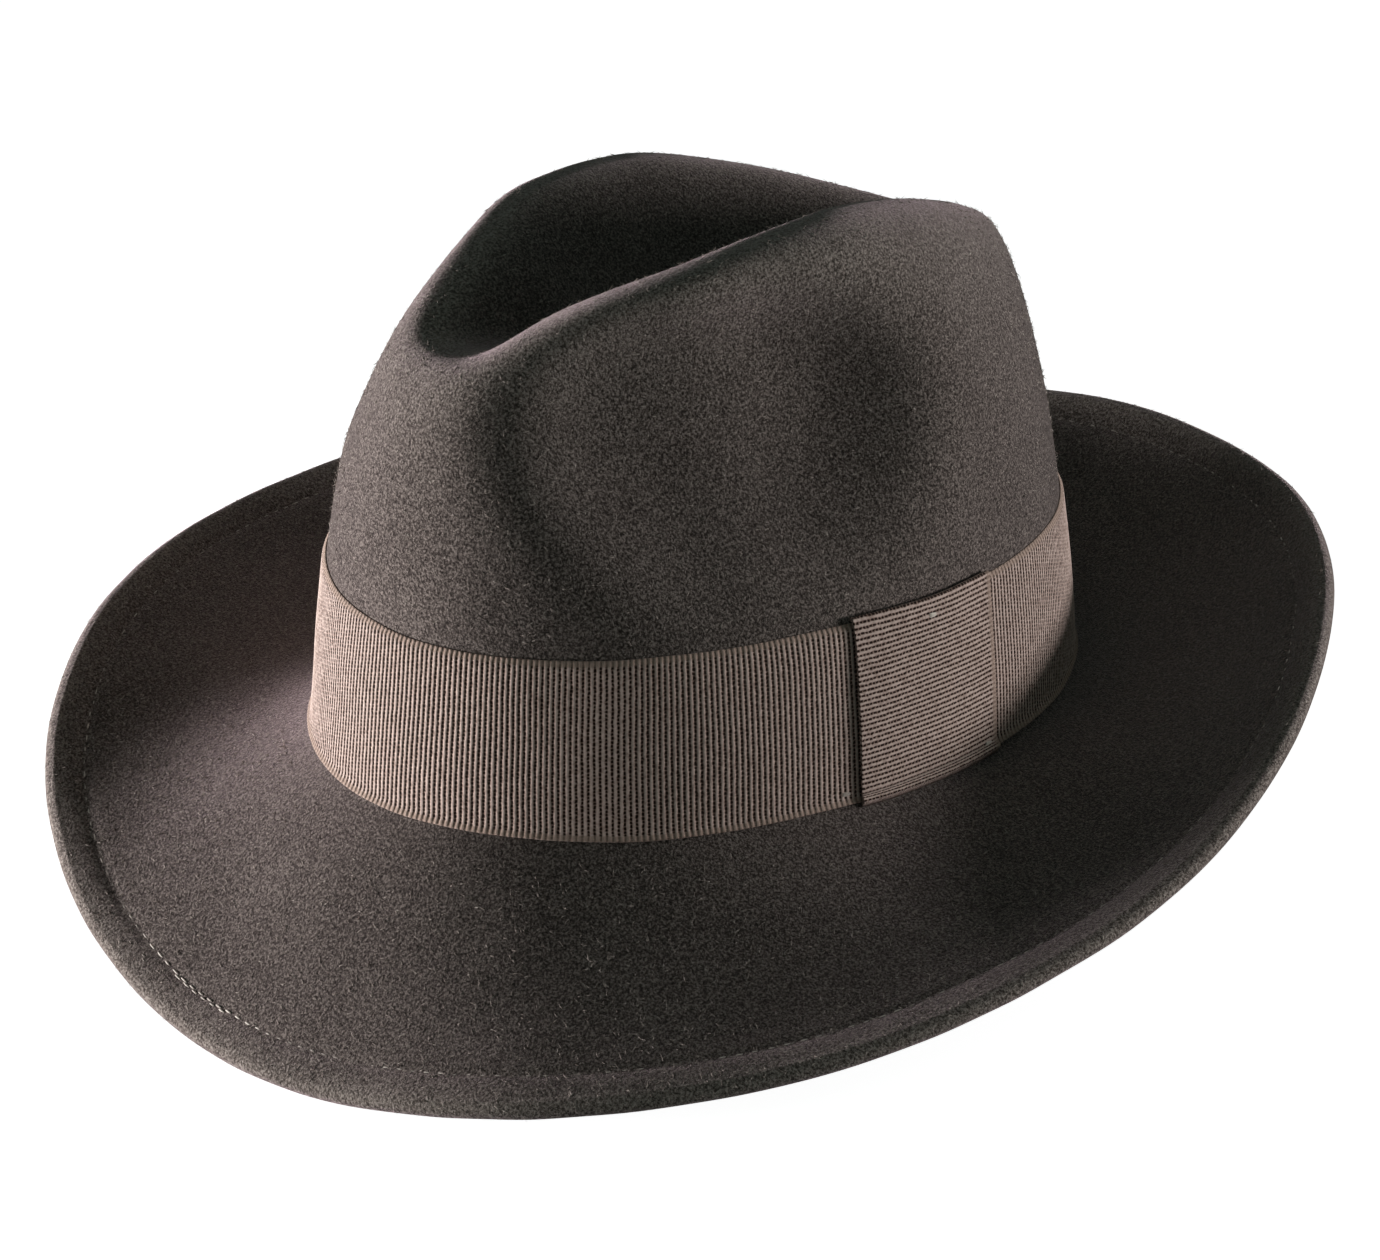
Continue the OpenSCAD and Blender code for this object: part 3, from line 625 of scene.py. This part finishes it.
# Painted shade: the pits between neighbouring ribs, where the warp dips, are darkened towards the ramp's
# near-black first stop.
painted_pit_shade = add(grosgrain, "ShaderNodeMath", {"operation": "MULTIPLY"},
           {0: hollow.outputs[0], 1: between.outputs[0]})
slub = add(grosgrain, "ShaderNodeTexNoise", {"Scale": 1000 / 1.2, "Detail": 3, "Roughness": 0.7},
           {"Vector": where})
worn = add(grosgrain, "ShaderNodeMath", {"operation": "MULTIPLY_ADD", 1: 0.9, 2: 0.38},
           {0: slub.outputs["Fac"]})
slub_and_painted_shade = add(grosgrain, "ShaderNodeMath", {"operation": "MULTIPLY_ADD", 1: -0.85},
            {0: painted_pit_shade.outputs[0], 2: worn.outputs[0]})
# The first stop is the painted shade of the pits; the others are the yarn's own tone, varied by slub.
yarn_and_painted_shade = add(grosgrain, "ShaderNodeValToRGB",
           {"stops": [(0.12, "#201511"), (0.5, "#7e665c"), (0.88, "#c4aea5")]}, {"Fac": slub_and_painted_shade.outputs[0]})
across = add(grosgrain, "ShaderNodeMath", {"operation": "ABSOLUTE"}, {0: place.outputs["Y"]})
selvedge = add(grosgrain, "ShaderNodeMapRange",
               {1: RIBBON_WIDTH / 2 - SELVEDGE - 0.2, 2: RIBBON_WIDTH / 2 - SELVEDGE + 0.2, 4: 0.75},
               {0: across.outputs[0]})
woven = add(grosgrain, "ShaderNodeMix", {"data_type": "RGBA", 7: colour("#9a8478")},
            {0: selvedge.outputs[0], 6: yarn_and_painted_shade.outputs["Color"]})
weave_bump = add(grosgrain, "ShaderNodeBump", {"Strength": 0.6, "Distance": 0.0003},
                 {"Height": slub_and_painted_shade.outputs[0]})
ribbon_face = add(grosgrain, "ShaderNodeBsdfPrincipled",
                  {"Roughness": 0.7, "Specular IOR Level": 0.05, "Sheen Weight": 0.1,
                   "Sheen Roughness": 0.4, "Sheen Tint": colour("#e6d8d0")},
                  {"Base Color": woven.outputs[2], "Normal": weave_bump.outputs["Normal"]})
add(grosgrain, "ShaderNodeOutputMaterial", {}, {"Surface": ribbon_face.outputs["BSDF"]})
band.data.materials.append(grosgrain)
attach(band, "root")
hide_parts("ribbon_band")


# Ribbon keeper
# A short piece of the same ribbon stands upright over the band's joint, so its ribs lie level. It is turned
# in over the band's top edge, hemmed at its foot, and its front edge stands a little off the band.
KEEPER_LIFT = 0.9
KEEPER_LAP = 1
KEEPER_HEM, HEM_SWELL = 3.6, 0.35
KEEPER_RIB = 1.24
TUCK_DEPTH, TUCK_DROP = 0.45, 3.5
CORD_HEIGHT = 0.12
KEEPER_MAP_HALF = 21.2
keeper_near = CLEARANCE * 2 + RIBBON_THICKNESS
keeper_low, keeper_high = RIBBON_RISE - CLEARANCE - KEEPER_LAP / 2, RIBBON_TOP + CLEARANCE + KEEPER_LAP
keeper_half = oval_turn(KEEPER_ANGLE, RIBBON_WIDTH / 2)
sides = np.concatenate([[-1, -0.995, -0.985], np.linspace(-0.97, 0.9, 26),
                        np.linspace(0.915, 0.985, 9), [0.995, 1]])
keeper_across = (sides - 1) * KEEPER_MAP_HALF + RIBBON_WIDTH / 2


def keeper_row(height, off, rib=0.0):
    """One row of the keeper from its front edge to its back edge, at a height, off from the felt."""
    up = np.clip((height - keeper_low) / (keeper_high - keeper_low), 0, 1)
    stand = KEEPER_LIFT * (1.1 - 0.5 * up) * math.sin(math.pi * up) ** 0.4 * eased(0.1, -1, sides)
    hem = HEM_SWELL * eased(KEEPER_HEM + 0.3, KEEPER_HEM - 0.3, height)
    aside, below = sides * RIBBON_WIDTH / 2, height - keeper_high + TUCK_DROP
    tuck = -TUCK_DEPTH * np.exp(-(aside / 4) ** 2 - (below / 1.6) ** 2)
    cord = CORD_HEIGHT * (np.exp(-((sides - 0.955) / 0.012) ** 2) + np.exp(-((sides - 0.925) / 0.009) ** 2))
    teeth = 0.008 * rib * np.sign(sides) * eased(0.97, 1, np.abs(sides))
    lean = 0.012 * (0.5 - up)
    face = rib > 0
    return shell(KEEPER_ANGLE + keeper_half * (sides + teeth - lean), height,
                 off + stand + face * (hem + tuck + cord + RIB_HEIGHT * (rib - 1)))


rows, maps = [], []
ribs_up = int(round((keeper_high - keeper_low) / KEEPER_RIB))
for i in range(ribs_up * RIB_STEPS + 1):
    height = keeper_low + (keeper_high - keeper_low) * i / (ribs_up * RIB_STEPS)
    rib = 0.05 + 0.95 * abs(math.sin(math.pi * i / RIB_STEPS)) ** 0.8
    rows.append(keeper_row(height, keeper_near + RIBBON_THICKNESS, rib))
    maps.append(vec(i * RIB_PITCH / RIB_STEPS, keeper_across))
# Its back turns in over the band's top edge, runs down behind the face, and ends in the hem.
back = [(keeper_high + 0.15, keeper_near + 0.3), (keeper_high, CLEARANCE + 0.5),
        (keeper_high - 0.3, CLEARANCE), (keeper_high - 0.8, CLEARANCE + 0.1),
        (keeper_high - 0.95, keeper_near - 0.2)]
back += [(height, keeper_near) for height in np.linspace(keeper_high - 1.3, keeper_low + 0.7, 14)]
back += [(keeper_low + 0.45, keeper_near - 0.3), (keeper_low + 0.4, CLEARANCE + 0.05),
         (keeper_low, CLEARANCE)]
for n, (height, off) in enumerate(back):
    rows.append(keeper_row(height, off))
    maps.append(vec((ribs_up + n) * RIB_PITCH, keeper_across))
keeper = laid("ribbon_keeper_woven", np.stack(rows + rows[:1]), np.stack(maps + maps[:1]))
keeper.data.materials.append(grosgrain)
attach(keeper, "root")
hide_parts("ribbon_keeper")


# Ribbon tacks
# A few hand stitches in the same pale thread hold the keeper at its top and at its back foot, and the band
# beside the keeper's front foot. Each is three short throws over the same spot, sunk in the ribbon.
TACK_INSET = 3
TACK_SINK = 0.42
on_band = CLEARANCE * 2 + RIBBON_THICKNESS + THREAD_SIZE / 2
on_keeper = on_band + CLEARANCE + RIBBON_THICKNESS
reach = oval_turn(KEEPER_ANGLE, STITCH_LENGTH)
bm = bmesh.new()
low_tack = RIBBON_RISE + TACK_INSET
for angle, height, out in [(KEEPER_ANGLE, RIBBON_TOP - TACK_INSET, on_keeper - 0.4),
                           (KEEPER_ANGLE + keeper_half - 2 * reach, low_tack, on_keeper + 0.1),
                           (KEEPER_ANGLE - keeper_half - 2 * reach, low_tack, on_band - 0.1)]:
    off = out - TACK_SINK
    for drop, slant in ((0, 0.2), (0.45, -0.3), (-0.4, 0.1)):
        start = shell(angle, height + drop, off)
        sew(bm, start, shell(angle + reach, height + drop + slant, off), THREAD_SIZE)
tacks = made("ribbon_tacks_sewn", bm)
tacks.data.materials.append(edge_thread)
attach(tacks, "root")
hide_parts("ribbon_tacks")


# Sweatband
# A strip of thin roan leather lines the opening, grain side in. It stands on the reed's tape, leans off the
# lining at its top and carries a tooled line under its upper edge. Its ends meet at the back.
SWEATBAND_HEIGHT = 34
SWEATBAND_THICKNESS = 1.2
SWEATBAND_DEPTH = 3.5
REED_SIZE = 2
REED_RISE = 3
TAPE_THICKNESS = 0.4
TOOLED_INSET, TOOLED_SIZE = 3, 0.35
LEAN_DEPTH, LEAN_FROM = 0.4, 8
LEATHER_STEP = 2.5
TAPE_RADIUS = REED_SIZE / 2 + CLEARANCE / 2 + TAPE_THICKNESS
SWEATBAND_RISE = REED_RISE + TAPE_RADIUS + CLEARANCE
SWEATBAND_TOP = SWEATBAND_RISE + SWEATBAND_HEIGHT
end_gap = oval_turn(180, CLEARANCE)
turns, runs = arc_angles(180 + end_gap, 540 - end_gap, LEATHER_STEP)


def leaned(a, height):
    """How far the leather leans in at a place: in slow waves, and more towards its top."""
    wave = LEAN_DEPTH * (1 + 0.6 * sind(5 * a) + 0.4 * sind(13 * a + 40))
    return wave * eased(SWEATBAND_RISE + LEAN_FROM, SWEATBAND_TOP, height)


def leather_row(height, depth):
    return shell(turns, height, -depth - leaned(turns, height))


rows, maps = [], []
grain_side = np.concatenate([np.linspace(0.35, SWEATBAND_HEIGHT - TOOLED_INSET - 1, 16),
                             SWEATBAND_HEIGHT - TOOLED_INSET + np.linspace(-0.7, 0.7, 9),
                             SWEATBAND_HEIGHT - np.array([1.8, 1.2, 0.7, 0.35])])
inner = SWEATBAND_DEPTH + SWEATBAND_THICKNESS
for up in grain_side:
    line = TOOLED_SIZE * math.exp(-((up - SWEATBAND_HEIGHT + TOOLED_INSET) / TOOLED_SIZE) ** 2)
    rows.append(leather_row(SWEATBAND_RISE + up, inner - line))
    maps.append(vec(runs, up))
for up, depth in [(SWEATBAND_HEIGHT - 0.1, inner - 0.2), (SWEATBAND_HEIGHT, inner - 0.6),
                  (SWEATBAND_HEIGHT - 0.1, inner - 1), (SWEATBAND_HEIGHT - 0.35, SWEATBAND_DEPTH),
                  (24, SWEATBAND_DEPTH), (12, SWEATBAND_DEPTH),
                  (0.35, SWEATBAND_DEPTH), (0.1, inner - 1), (0, inner - 0.6), (0.1, inner - 0.2)]:
    rows.append(leather_row(SWEATBAND_RISE + up, depth))
    maps.append(vec(runs, up))
sweatband = laid("sweatband_leather", np.stack(rows + rows[:1]), np.stack(maps + maps[:1]))

# Roan sheepskin, dyed and lightly polished: close soft wrinkles about a millimetre across, drawn a little
# coarse, with paler rubbed high spots and a low gloss.
roan_leather = finish_named("roan_leather")
where = add(roan_leather, "ShaderNodeTexCoord").outputs["Object"]
pores = add(roan_leather, "ShaderNodeTexVoronoi", {"Scale": 1000 / 1.1, "Randomness": 1}, {"Vector": where})
crease = add(roan_leather, "ShaderNodeTexNoise", {"Scale": 1000 / 5, "Detail": 5, "Roughness": 0.6},
             {"Vector": where})
rubbed = add(roan_leather, "ShaderNodeMath", {"operation": "MULTIPLY_ADD", 1: 0.45},
             {0: pores.outputs["Distance"], 2: crease.outputs["Fac"]})
hide = add(roan_leather, "ShaderNodeValToRGB",
           {"stops": [(0.35, "#221c1a"), (0.65, "#2f2725"), (0.95, "#41362f")]}, {"Fac": rubbed.outputs[0]})
gloss = add(roan_leather, "ShaderNodeMapRange", {1: 0.3, 2: 0.9, 3: 0.42, 4: 0.62}, {0: rubbed.outputs[0]})
hide_bump = add(roan_leather, "ShaderNodeBump", {"Strength": 0.45, "Distance": 0.0004},
                {"Height": rubbed.outputs[0]})
leather_face = add(roan_leather, "ShaderNodeBsdfPrincipled", {"Specular IOR Level": 0.45},
                   {"Base Color": hide.outputs["Color"], "Roughness": gloss.outputs[0],
                    "Normal": hide_bump.outputs["Normal"]})
add(roan_leather, "ShaderNodeOutputMaterial", {}, {"Surface": leather_face.outputs["BSDF"]})
sweatband.data.materials.append(roan_leather)
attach(sweatband, "root")
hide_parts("sweatband")


# Sweatband reed
# A springy nylon rod runs in the tape along the sweatband's lower edge and keeps the opening oval. Its two
# ends meet at the back.
REED_DEPTH = FELT_THICKNESS + CLEARANCE + TAPE_RADIUS


def reed_row(radius, angle):
    """A line along the reed at a distance from its middle, with 0 towards the head and 90 up."""
    middle = shell(turns, REED_RISE, -REED_DEPTH)
    inward = middle - shell(turns, REED_RISE, 1 - REED_DEPTH)
    rise = vec(0, 0, 1) - inward * inward[..., 2:]
    up = rise / np.linalg.norm(rise, axis=-1, keepdims=True)
    return middle + radius * (inward * cosd(angle) + up * sind(angle))


angles = np.linspace(0, 360, 13)
reed = laid("sweatband_reed_rod", np.stack([reed_row(REED_SIZE / 2, angle) for angle in angles]))

# Drawn nylon: a milky off-white rod with faint lines along its length and a soft gloss.
drawn_nylon = finish_named("drawn_nylon")
where = add(drawn_nylon, "ShaderNodeTexCoord").outputs["Object"]
cloud = add(drawn_nylon, "ShaderNodeTexNoise", {"Scale": 1000 / 14, "Detail": 3}, {"Vector": where})
milk = add(drawn_nylon, "ShaderNodeValToRGB", {"stops": [(0.3, "#cbc4b4"), (0.7, "#dfdacd")]},
           {"Fac": cloud.outputs["Fac"]})
scratch = add(drawn_nylon, "ShaderNodeTexNoise", {"Scale": 1000 / 0.6, "Detail": 2}, {"Vector": where})
rod_bump = add(drawn_nylon, "ShaderNodeBump", {"Strength": 0.15, "Distance": 0.0001},
               {"Height": scratch.outputs["Fac"]})
rod_face = add(drawn_nylon, "ShaderNodeBsdfPrincipled", {"Roughness": 0.4, "IOR": 1.53},
               {"Base Color": milk.outputs["Color"], "Normal": rod_bump.outputs["Normal"]})
add(drawn_nylon, "ShaderNodeOutputMaterial", {}, {"Surface": rod_face.outputs["BSDF"]})
reed.data.materials.append(drawn_nylon)
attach(reed, "root")
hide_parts("sweatband_reed")


# Sweatband tape
# A narrow cotton tape is folded round the reed. Its two edges meet above it, where they are sewn to the
# sweatband's lower edge.
TAPE_WEAVE = 0.8
angles = np.linspace(110, 430, 19)
rows = [reed_row(TAPE_RADIUS, angle) for angle in angles]
rows += [reed_row(TAPE_RADIUS - TAPE_THICKNESS, angle) for angle in angles[::-1]]
maps = [vec(runs, TAPE_RADIUS * math.radians(angle)) for angle in angles]
maps += maps[::-1]
tape = laid("sweatband_tape_folded", np.stack(rows + rows[:1]), np.stack(maps + maps[:1]))

# Cotton tape in plain weave: fine threads, drawn far enough apart that they show, dull and a little fluffy.
cotton_tape = finish_named("cotton_tape")
flat_map = add(cotton_tape, "ShaderNodeUVMap").outputs["UV"]
warp, weft = (add(cotton_tape, "ShaderNodeTexWave",
                  {"Scale": math.pi / 10 / TAPE_WEAVE, "bands_direction": direction}, {"Vector": flat_map})
              for direction in "XY")
crossed = add(cotton_tape, "ShaderNodeMath", {"operation": "MULTIPLY"},
              {0: warp.outputs["Fac"], 1: weft.outputs["Fac"]})
cotton = add(cotton_tape, "ShaderNodeValToRGB", {"stops": [(0.05, "#2a2421"), (0.7, "#40382f")]},
             {"Fac": crossed.outputs[0]})
cotton_bump = add(cotton_tape, "ShaderNodeBump", {"Strength": 0.5, "Distance": 0.0002},
                  {"Height": crossed.outputs[0]})
tape_face = add(cotton_tape, "ShaderNodeBsdfPrincipled", {"Roughness": 0.85, "Sheen Weight": 0.15},
                {"Base Color": cotton.outputs["Color"], "Normal": cotton_bump.outputs["Normal"]})
add(cotton_tape, "ShaderNodeOutputMaterial", {}, {"Surface": tape_face.outputs["BSDF"]})
tape.data.materials.append(cotton_tape)
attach(tape, "root")
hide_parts("sweatband_tape")


# Sweatband stitches
# One row of strong thread along the sweatband's lower edge goes through leather, tape and felt.
BAND_STITCH_LENGTH = 3
BAND_STITCH_SPACE = 3
BAND_STITCH_INSET = 1.5
band_face = -SWEATBAND_DEPTH - SWEATBAND_THICKNESS - THREAD_SIZE / 4
pitch = BAND_STITCH_LENGTH + BAND_STITCH_SPACE
count = int(math.pi * (CROWN_WIDTH + CROWN_LENGTH + 4 * band_face) / 2 / pitch)
bm = bmesh.new()
for i in range(count):
    a = 360 * i / count
    span = 360 / count * BAND_STITCH_LENGTH / pitch * rng.uniform(0.9, 1.05)
    height = SWEATBAND_RISE + BAND_STITCH_INSET + rng.uniform(-0.1, 0.1)
    sew(bm, shell(a, height, band_face), shell(a + span, height, band_face), THREAD_SIZE)
band_stitches = made("sweatband_stitches_sewn", bm)

# Waxed cotton thread: dull and dark beige, with the twist of its two plies.
waxed_thread = finish_named("waxed_thread")
where = add(waxed_thread, "ShaderNodeTexCoord").outputs["Object"]
twist = add(waxed_thread, "ShaderNodeTexNoise", {"Scale": 1000 / 0.5, "Detail": 1}, {"Vector": where})
flax = add(waxed_thread, "ShaderNodeValToRGB", {"stops": [(0.3, "#776d63"), (0.7, "#9c9187")]},
           {"Fac": twist.outputs["Fac"]})
twist_bump = add(waxed_thread, "ShaderNodeBump", {"Strength": 0.5, "Distance": 0.0002},
                 {"Height": twist.outputs["Fac"]})
waxed_face = add(waxed_thread, "ShaderNodeBsdfPrincipled", {"Roughness": 0.65},
                 {"Base Color": flax.outputs["Color"], "Normal": twist_bump.outputs["Normal"]})
add(waxed_thread, "ShaderNodeOutputMaterial", {}, {"Surface": waxed_face.outputs["BSDF"]})
band_stitches.data.materials.append(waxed_thread)
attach(band_stitches, "root")
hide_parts("sweatband_stitches")


# Sweatband joint stitches
# Slanting stitches in the same thread draw the sweatband's two ends together at the back.
reach = oval_turn(180, BAND_STITCH_LENGTH / 2)
bm = bmesh.new()
height = SWEATBAND_RISE + pitch
while height < SWEATBAND_TOP - pitch / 2:
    off = band_face - leaned(180, height)
    sew(bm, shell(180 - reach, height, off), shell(180 + reach, height + pitch / 2, off), THREAD_SIZE)
    height += pitch
joint = made("sweatband_joint_sewn", bm)
joint.data.materials.append(waxed_thread)
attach(joint, "root")
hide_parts("sweatband_joint_stitches")


# Lining side
# A band of satin lines the crown's wall. Its foot is tucked behind the sweatband, and its upper edge is
# gathered a little where it is sewn to the tip.
LINING_THICKNESS = 0.4
LINING_TUCK = 14
LINING_DEPTH = FELT_THICKNESS + CLEARANCE
SEAM_STEP = 68
GATHERS, GATHER_DEPTH = 36, 0.5
lining_turns = np.linspace(0, 360, 289)
foot_step = float(wall_step(np.array(90.0), SWEATBAND_TOP - LINING_TUCK))


def gathers(k):
    """How far the satin stands in from the wall: small upright folds that grow towards the seam."""
    drift = 2 * sind(5 * lining_turns)
    fold = (0.5 + 0.5 * np.sin(np.radians(GATHERS * lining_turns) + drift)) ** 2
    grown = eased(foot_step + 6, SEAM_STEP - 3, k) * eased(SEAM_STEP, SEAM_STEP - 4, k)
    return GATHER_DEPTH * fold * grown


steps = np.concatenate([np.linspace(foot_step, SEAM_STEP - 4, 20), SEAM_STEP - np.array([3, 2, 1, 0])])
rows = [crown_off(lining_turns, k, -LINING_DEPTH - gathers(k)) for k in steps]
rows += [crown_off(lining_turns, k, -LINING_DEPTH - LINING_THICKNESS - gathers(k)) for k in steps[::-1]]
lining_side = laid("lining_side_sewn", np.stack(rows + rows[:1]))

# Acetate satin: long floats of smooth yarn, so it shines softly in folds, with a faint grain of threads.
acetate_satin = finish_named("acetate_satin")
where = add(acetate_satin, "ShaderNodeTexCoord").outputs["Object"]
threads = add(acetate_satin, "ShaderNodeMapping", {"Scale": (1, 1, 0.12)}, {"Vector": where})
float_yarn = add(acetate_satin, "ShaderNodeTexNoise", {"Scale": 1000 / 0.5, "Detail": 2},
                 {"Vector": threads.outputs[0]})
fall = add(acetate_satin, "ShaderNodeTexNoise", {"Scale": 1000 / 30, "Detail": 2}, {"Vector": where})
mixed = add(acetate_satin, "ShaderNodeMath", {"operation": "MULTIPLY_ADD", 1: 0.5},
            {0: float_yarn.outputs["Fac"], 2: fall.outputs["Fac"]})
dyed = add(acetate_satin, "ShaderNodeValToRGB", {"stops": [(0.5, "#413938"), (1.0, "#554b49")]},
           {"Fac": mixed.outputs[0]})
satin_bump = add(acetate_satin, "ShaderNodeBump", {"Strength": 0.2, "Distance": 0.0002},
                 {"Height": float_yarn.outputs["Fac"]})
satin_face = add(acetate_satin, "ShaderNodeBsdfPrincipled",
                 {"Roughness": 0.34, "Specular IOR Level": 0.55, "Sheen Weight": 0.2,
                  "Sheen Roughness": 0.3},
                 {"Base Color": dyed.outputs["Color"], "Normal": satin_bump.outputs["Normal"]})
add(acetate_satin, "ShaderNodeOutputMaterial", {}, {"Surface": satin_face.outputs["BSDF"]})
lining_side.data.materials.append(acetate_satin)
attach(lining_side, "root")
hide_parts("lining_side")


# Lining tip
# One piece of the same satin crosses the crown under the dent, sewn to the side all round.
tip_steps = np.concatenate([SEAM_STEP + np.array([0.4, 1.2, 2.4]), np.linspace(72, 180, 26), [200]])
upper = np.full(len(lining_turns), -LINING_DEPTH)
rows = [crown_off(lining_turns, k, upper) for k in tip_steps[::-1]]
rows += [crown_off(lining_turns, k, upper - LINING_THICKNESS) for k in tip_steps]
lining_tip = laid("lining_tip_sewn", np.stack(rows))
lining_tip.data.materials.append(acetate_satin)
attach(lining_tip, "root")
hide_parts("lining_tip")


# Floor, light and camera
# A plain white table that runs out of view, a broad low soft light at each side with the left one stronger,
# a weak cool fill from all round, and a camera a little above the hat at its front left.
CAMERA_AZIMUTH, CAMERA_ELEVATION, CAMERA_ROLL = 52.99, 26.64, 0.37
CAMERA_DISTANCE = 900
IMAGE_WIDTH, IMAGE_HEIGHT = 1380, 1260
FOCAL_PIXELS = 3470.8
MIDDLE_X, MIDDLE_Y = 700.9, 671.9
FLOOR_GLOW = 0.935
FILL = 0.106
LIGHT_AIM = Vector((0, 0, 0.07))

bm = bmesh.new()
bmesh.ops.create_grid(bm, x_segments=8, y_segments=8, size=6)
floor = made("floor", bm)
table_white = finish_named("table_white")
path = add(table_white, "ShaderNodeLightPath")
seen = add(table_white, "ShaderNodeMath", {"operation": "MAXIMUM"},
           {0: path.outputs["Is Camera Ray"], 1: path.outputs["Is Glossy Ray"]})
glow = add(table_white, "ShaderNodeMath", {"operation": "MULTIPLY", 1: FLOOR_GLOW}, {0: seen.outputs[0]})
paper = add(table_white, "ShaderNodeBsdfPrincipled",
            {"Base Color": colour("#d2d2d2"), "Roughness": 0.9, "Specular IOR Level": 0.0,
             "Emission Color": (1, 1, 1, 1)}, {"Emission Strength": glow.outputs[0]})
add(table_white, "ShaderNodeOutputMaterial", {}, {"Surface": paper.outputs["BSDF"]})
floor.data.materials.append(table_white)

world = bpy.data.worlds.new("studio")
bpy.context.scene.world = world
world.use_nodes = True
world.node_tree.nodes.clear()
path = add(world, "ShaderNodeLightPath")
seen = add(world, "ShaderNodeMath", {"operation": "MAXIMUM"},
           {0: path.outputs["Is Camera Ray"], 1: path.outputs["Is Glossy Ray"]})
level = add(world, "ShaderNodeMath", {"operation": "MULTIPLY_ADD", 1: 1 - FILL, 2: FILL},
            {0: seen.outputs[0]})
shade = add(world, "ShaderNodeMix", {"data_type": "RGBA", 6: colour("#e0fff6"), 7: (1, 1, 1, 1)},
            {0: seen.outputs[0]})
sky = add(world, "ShaderNodeBackground", {}, {"Color": shade.outputs[2], "Strength": level.outputs[0]})
add(world, "ShaderNodeOutputWorld", {}, {"Surface": sky.outputs["Background"]})


def soft_light(name, azimuth, elevation, distance, size, power):
    """A soft box that faces the hat, placed by degrees round and over it, with sizes in metres."""
    lamp = bpy.data.lights.new(name, "AREA")
    lamp.shape, lamp.size, lamp.size_y, lamp.energy = "RECTANGLE", size[0], size[1], power
    holder = bpy.data.objects.new(name, lamp)
    a, e = math.radians(azimuth), math.radians(elevation)
    back = Vector((math.sin(a) * math.cos(e), -math.cos(a) * math.cos(e), math.sin(e)))
    holder.location = LIGHT_AIM + back * distance
    holder.rotation_euler = back.to_track_quat("Z", "Y").to_euler()
    bpy.context.scene.collection.objects.link(holder)


soft_light("left_softbox", azimuth=-37, elevation=-0.3, distance=0.75, size=(0.4, 0.1), power=11)
soft_light("right_softbox", azimuth=137, elevation=-1.6, distance=0.75, size=(0.4, 0.09), power=3.8)

a, e, roll = (math.radians(x) for x in (CAMERA_AZIMUTH, CAMERA_ELEVATION, CAMERA_ROLL))
back = np.array([math.sin(a) * math.cos(e), -math.cos(a) * math.cos(e), math.sin(e)])
right = np.array([math.cos(a), math.sin(a), 0])
up = np.cross(back, right)
right, up = math.cos(roll) * right + math.sin(roll) * up, math.cos(roll) * up - math.sin(roll) * right
eye, side, above, behind = at_rest(np.array([CAMERA_DISTANCE * back, CAMERA_DISTANCE * back + right,
                                             CAMERA_DISTANCE * back + up, CAMERA_DISTANCE * back + back]))
lens = bpy.data.cameras.new("camera")
lens.sensor_fit, lens.sensor_width = "HORIZONTAL", 36
lens.lens = FOCAL_PIXELS / IMAGE_WIDTH * 36
lens.shift_x = (IMAGE_WIDTH / 2 - MIDDLE_X) / IMAGE_WIDTH
lens.shift_y = (MIDDLE_Y - IMAGE_HEIGHT / 2) / IMAGE_WIDTH
camera = bpy.data.objects.new("camera", lens)
turn = Matrix([(Vector(v) - Vector(eye)).normalized() for v in (side, above, behind)]).transposed()
camera.matrix_world = Matrix.Translation(Vector(eye)) @ turn.to_4x4()
bpy.context.scene.collection.objects.link(camera)
bpy.context.scene.camera = camera
bpy.context.scene.view_settings.view_transform = "Standard"
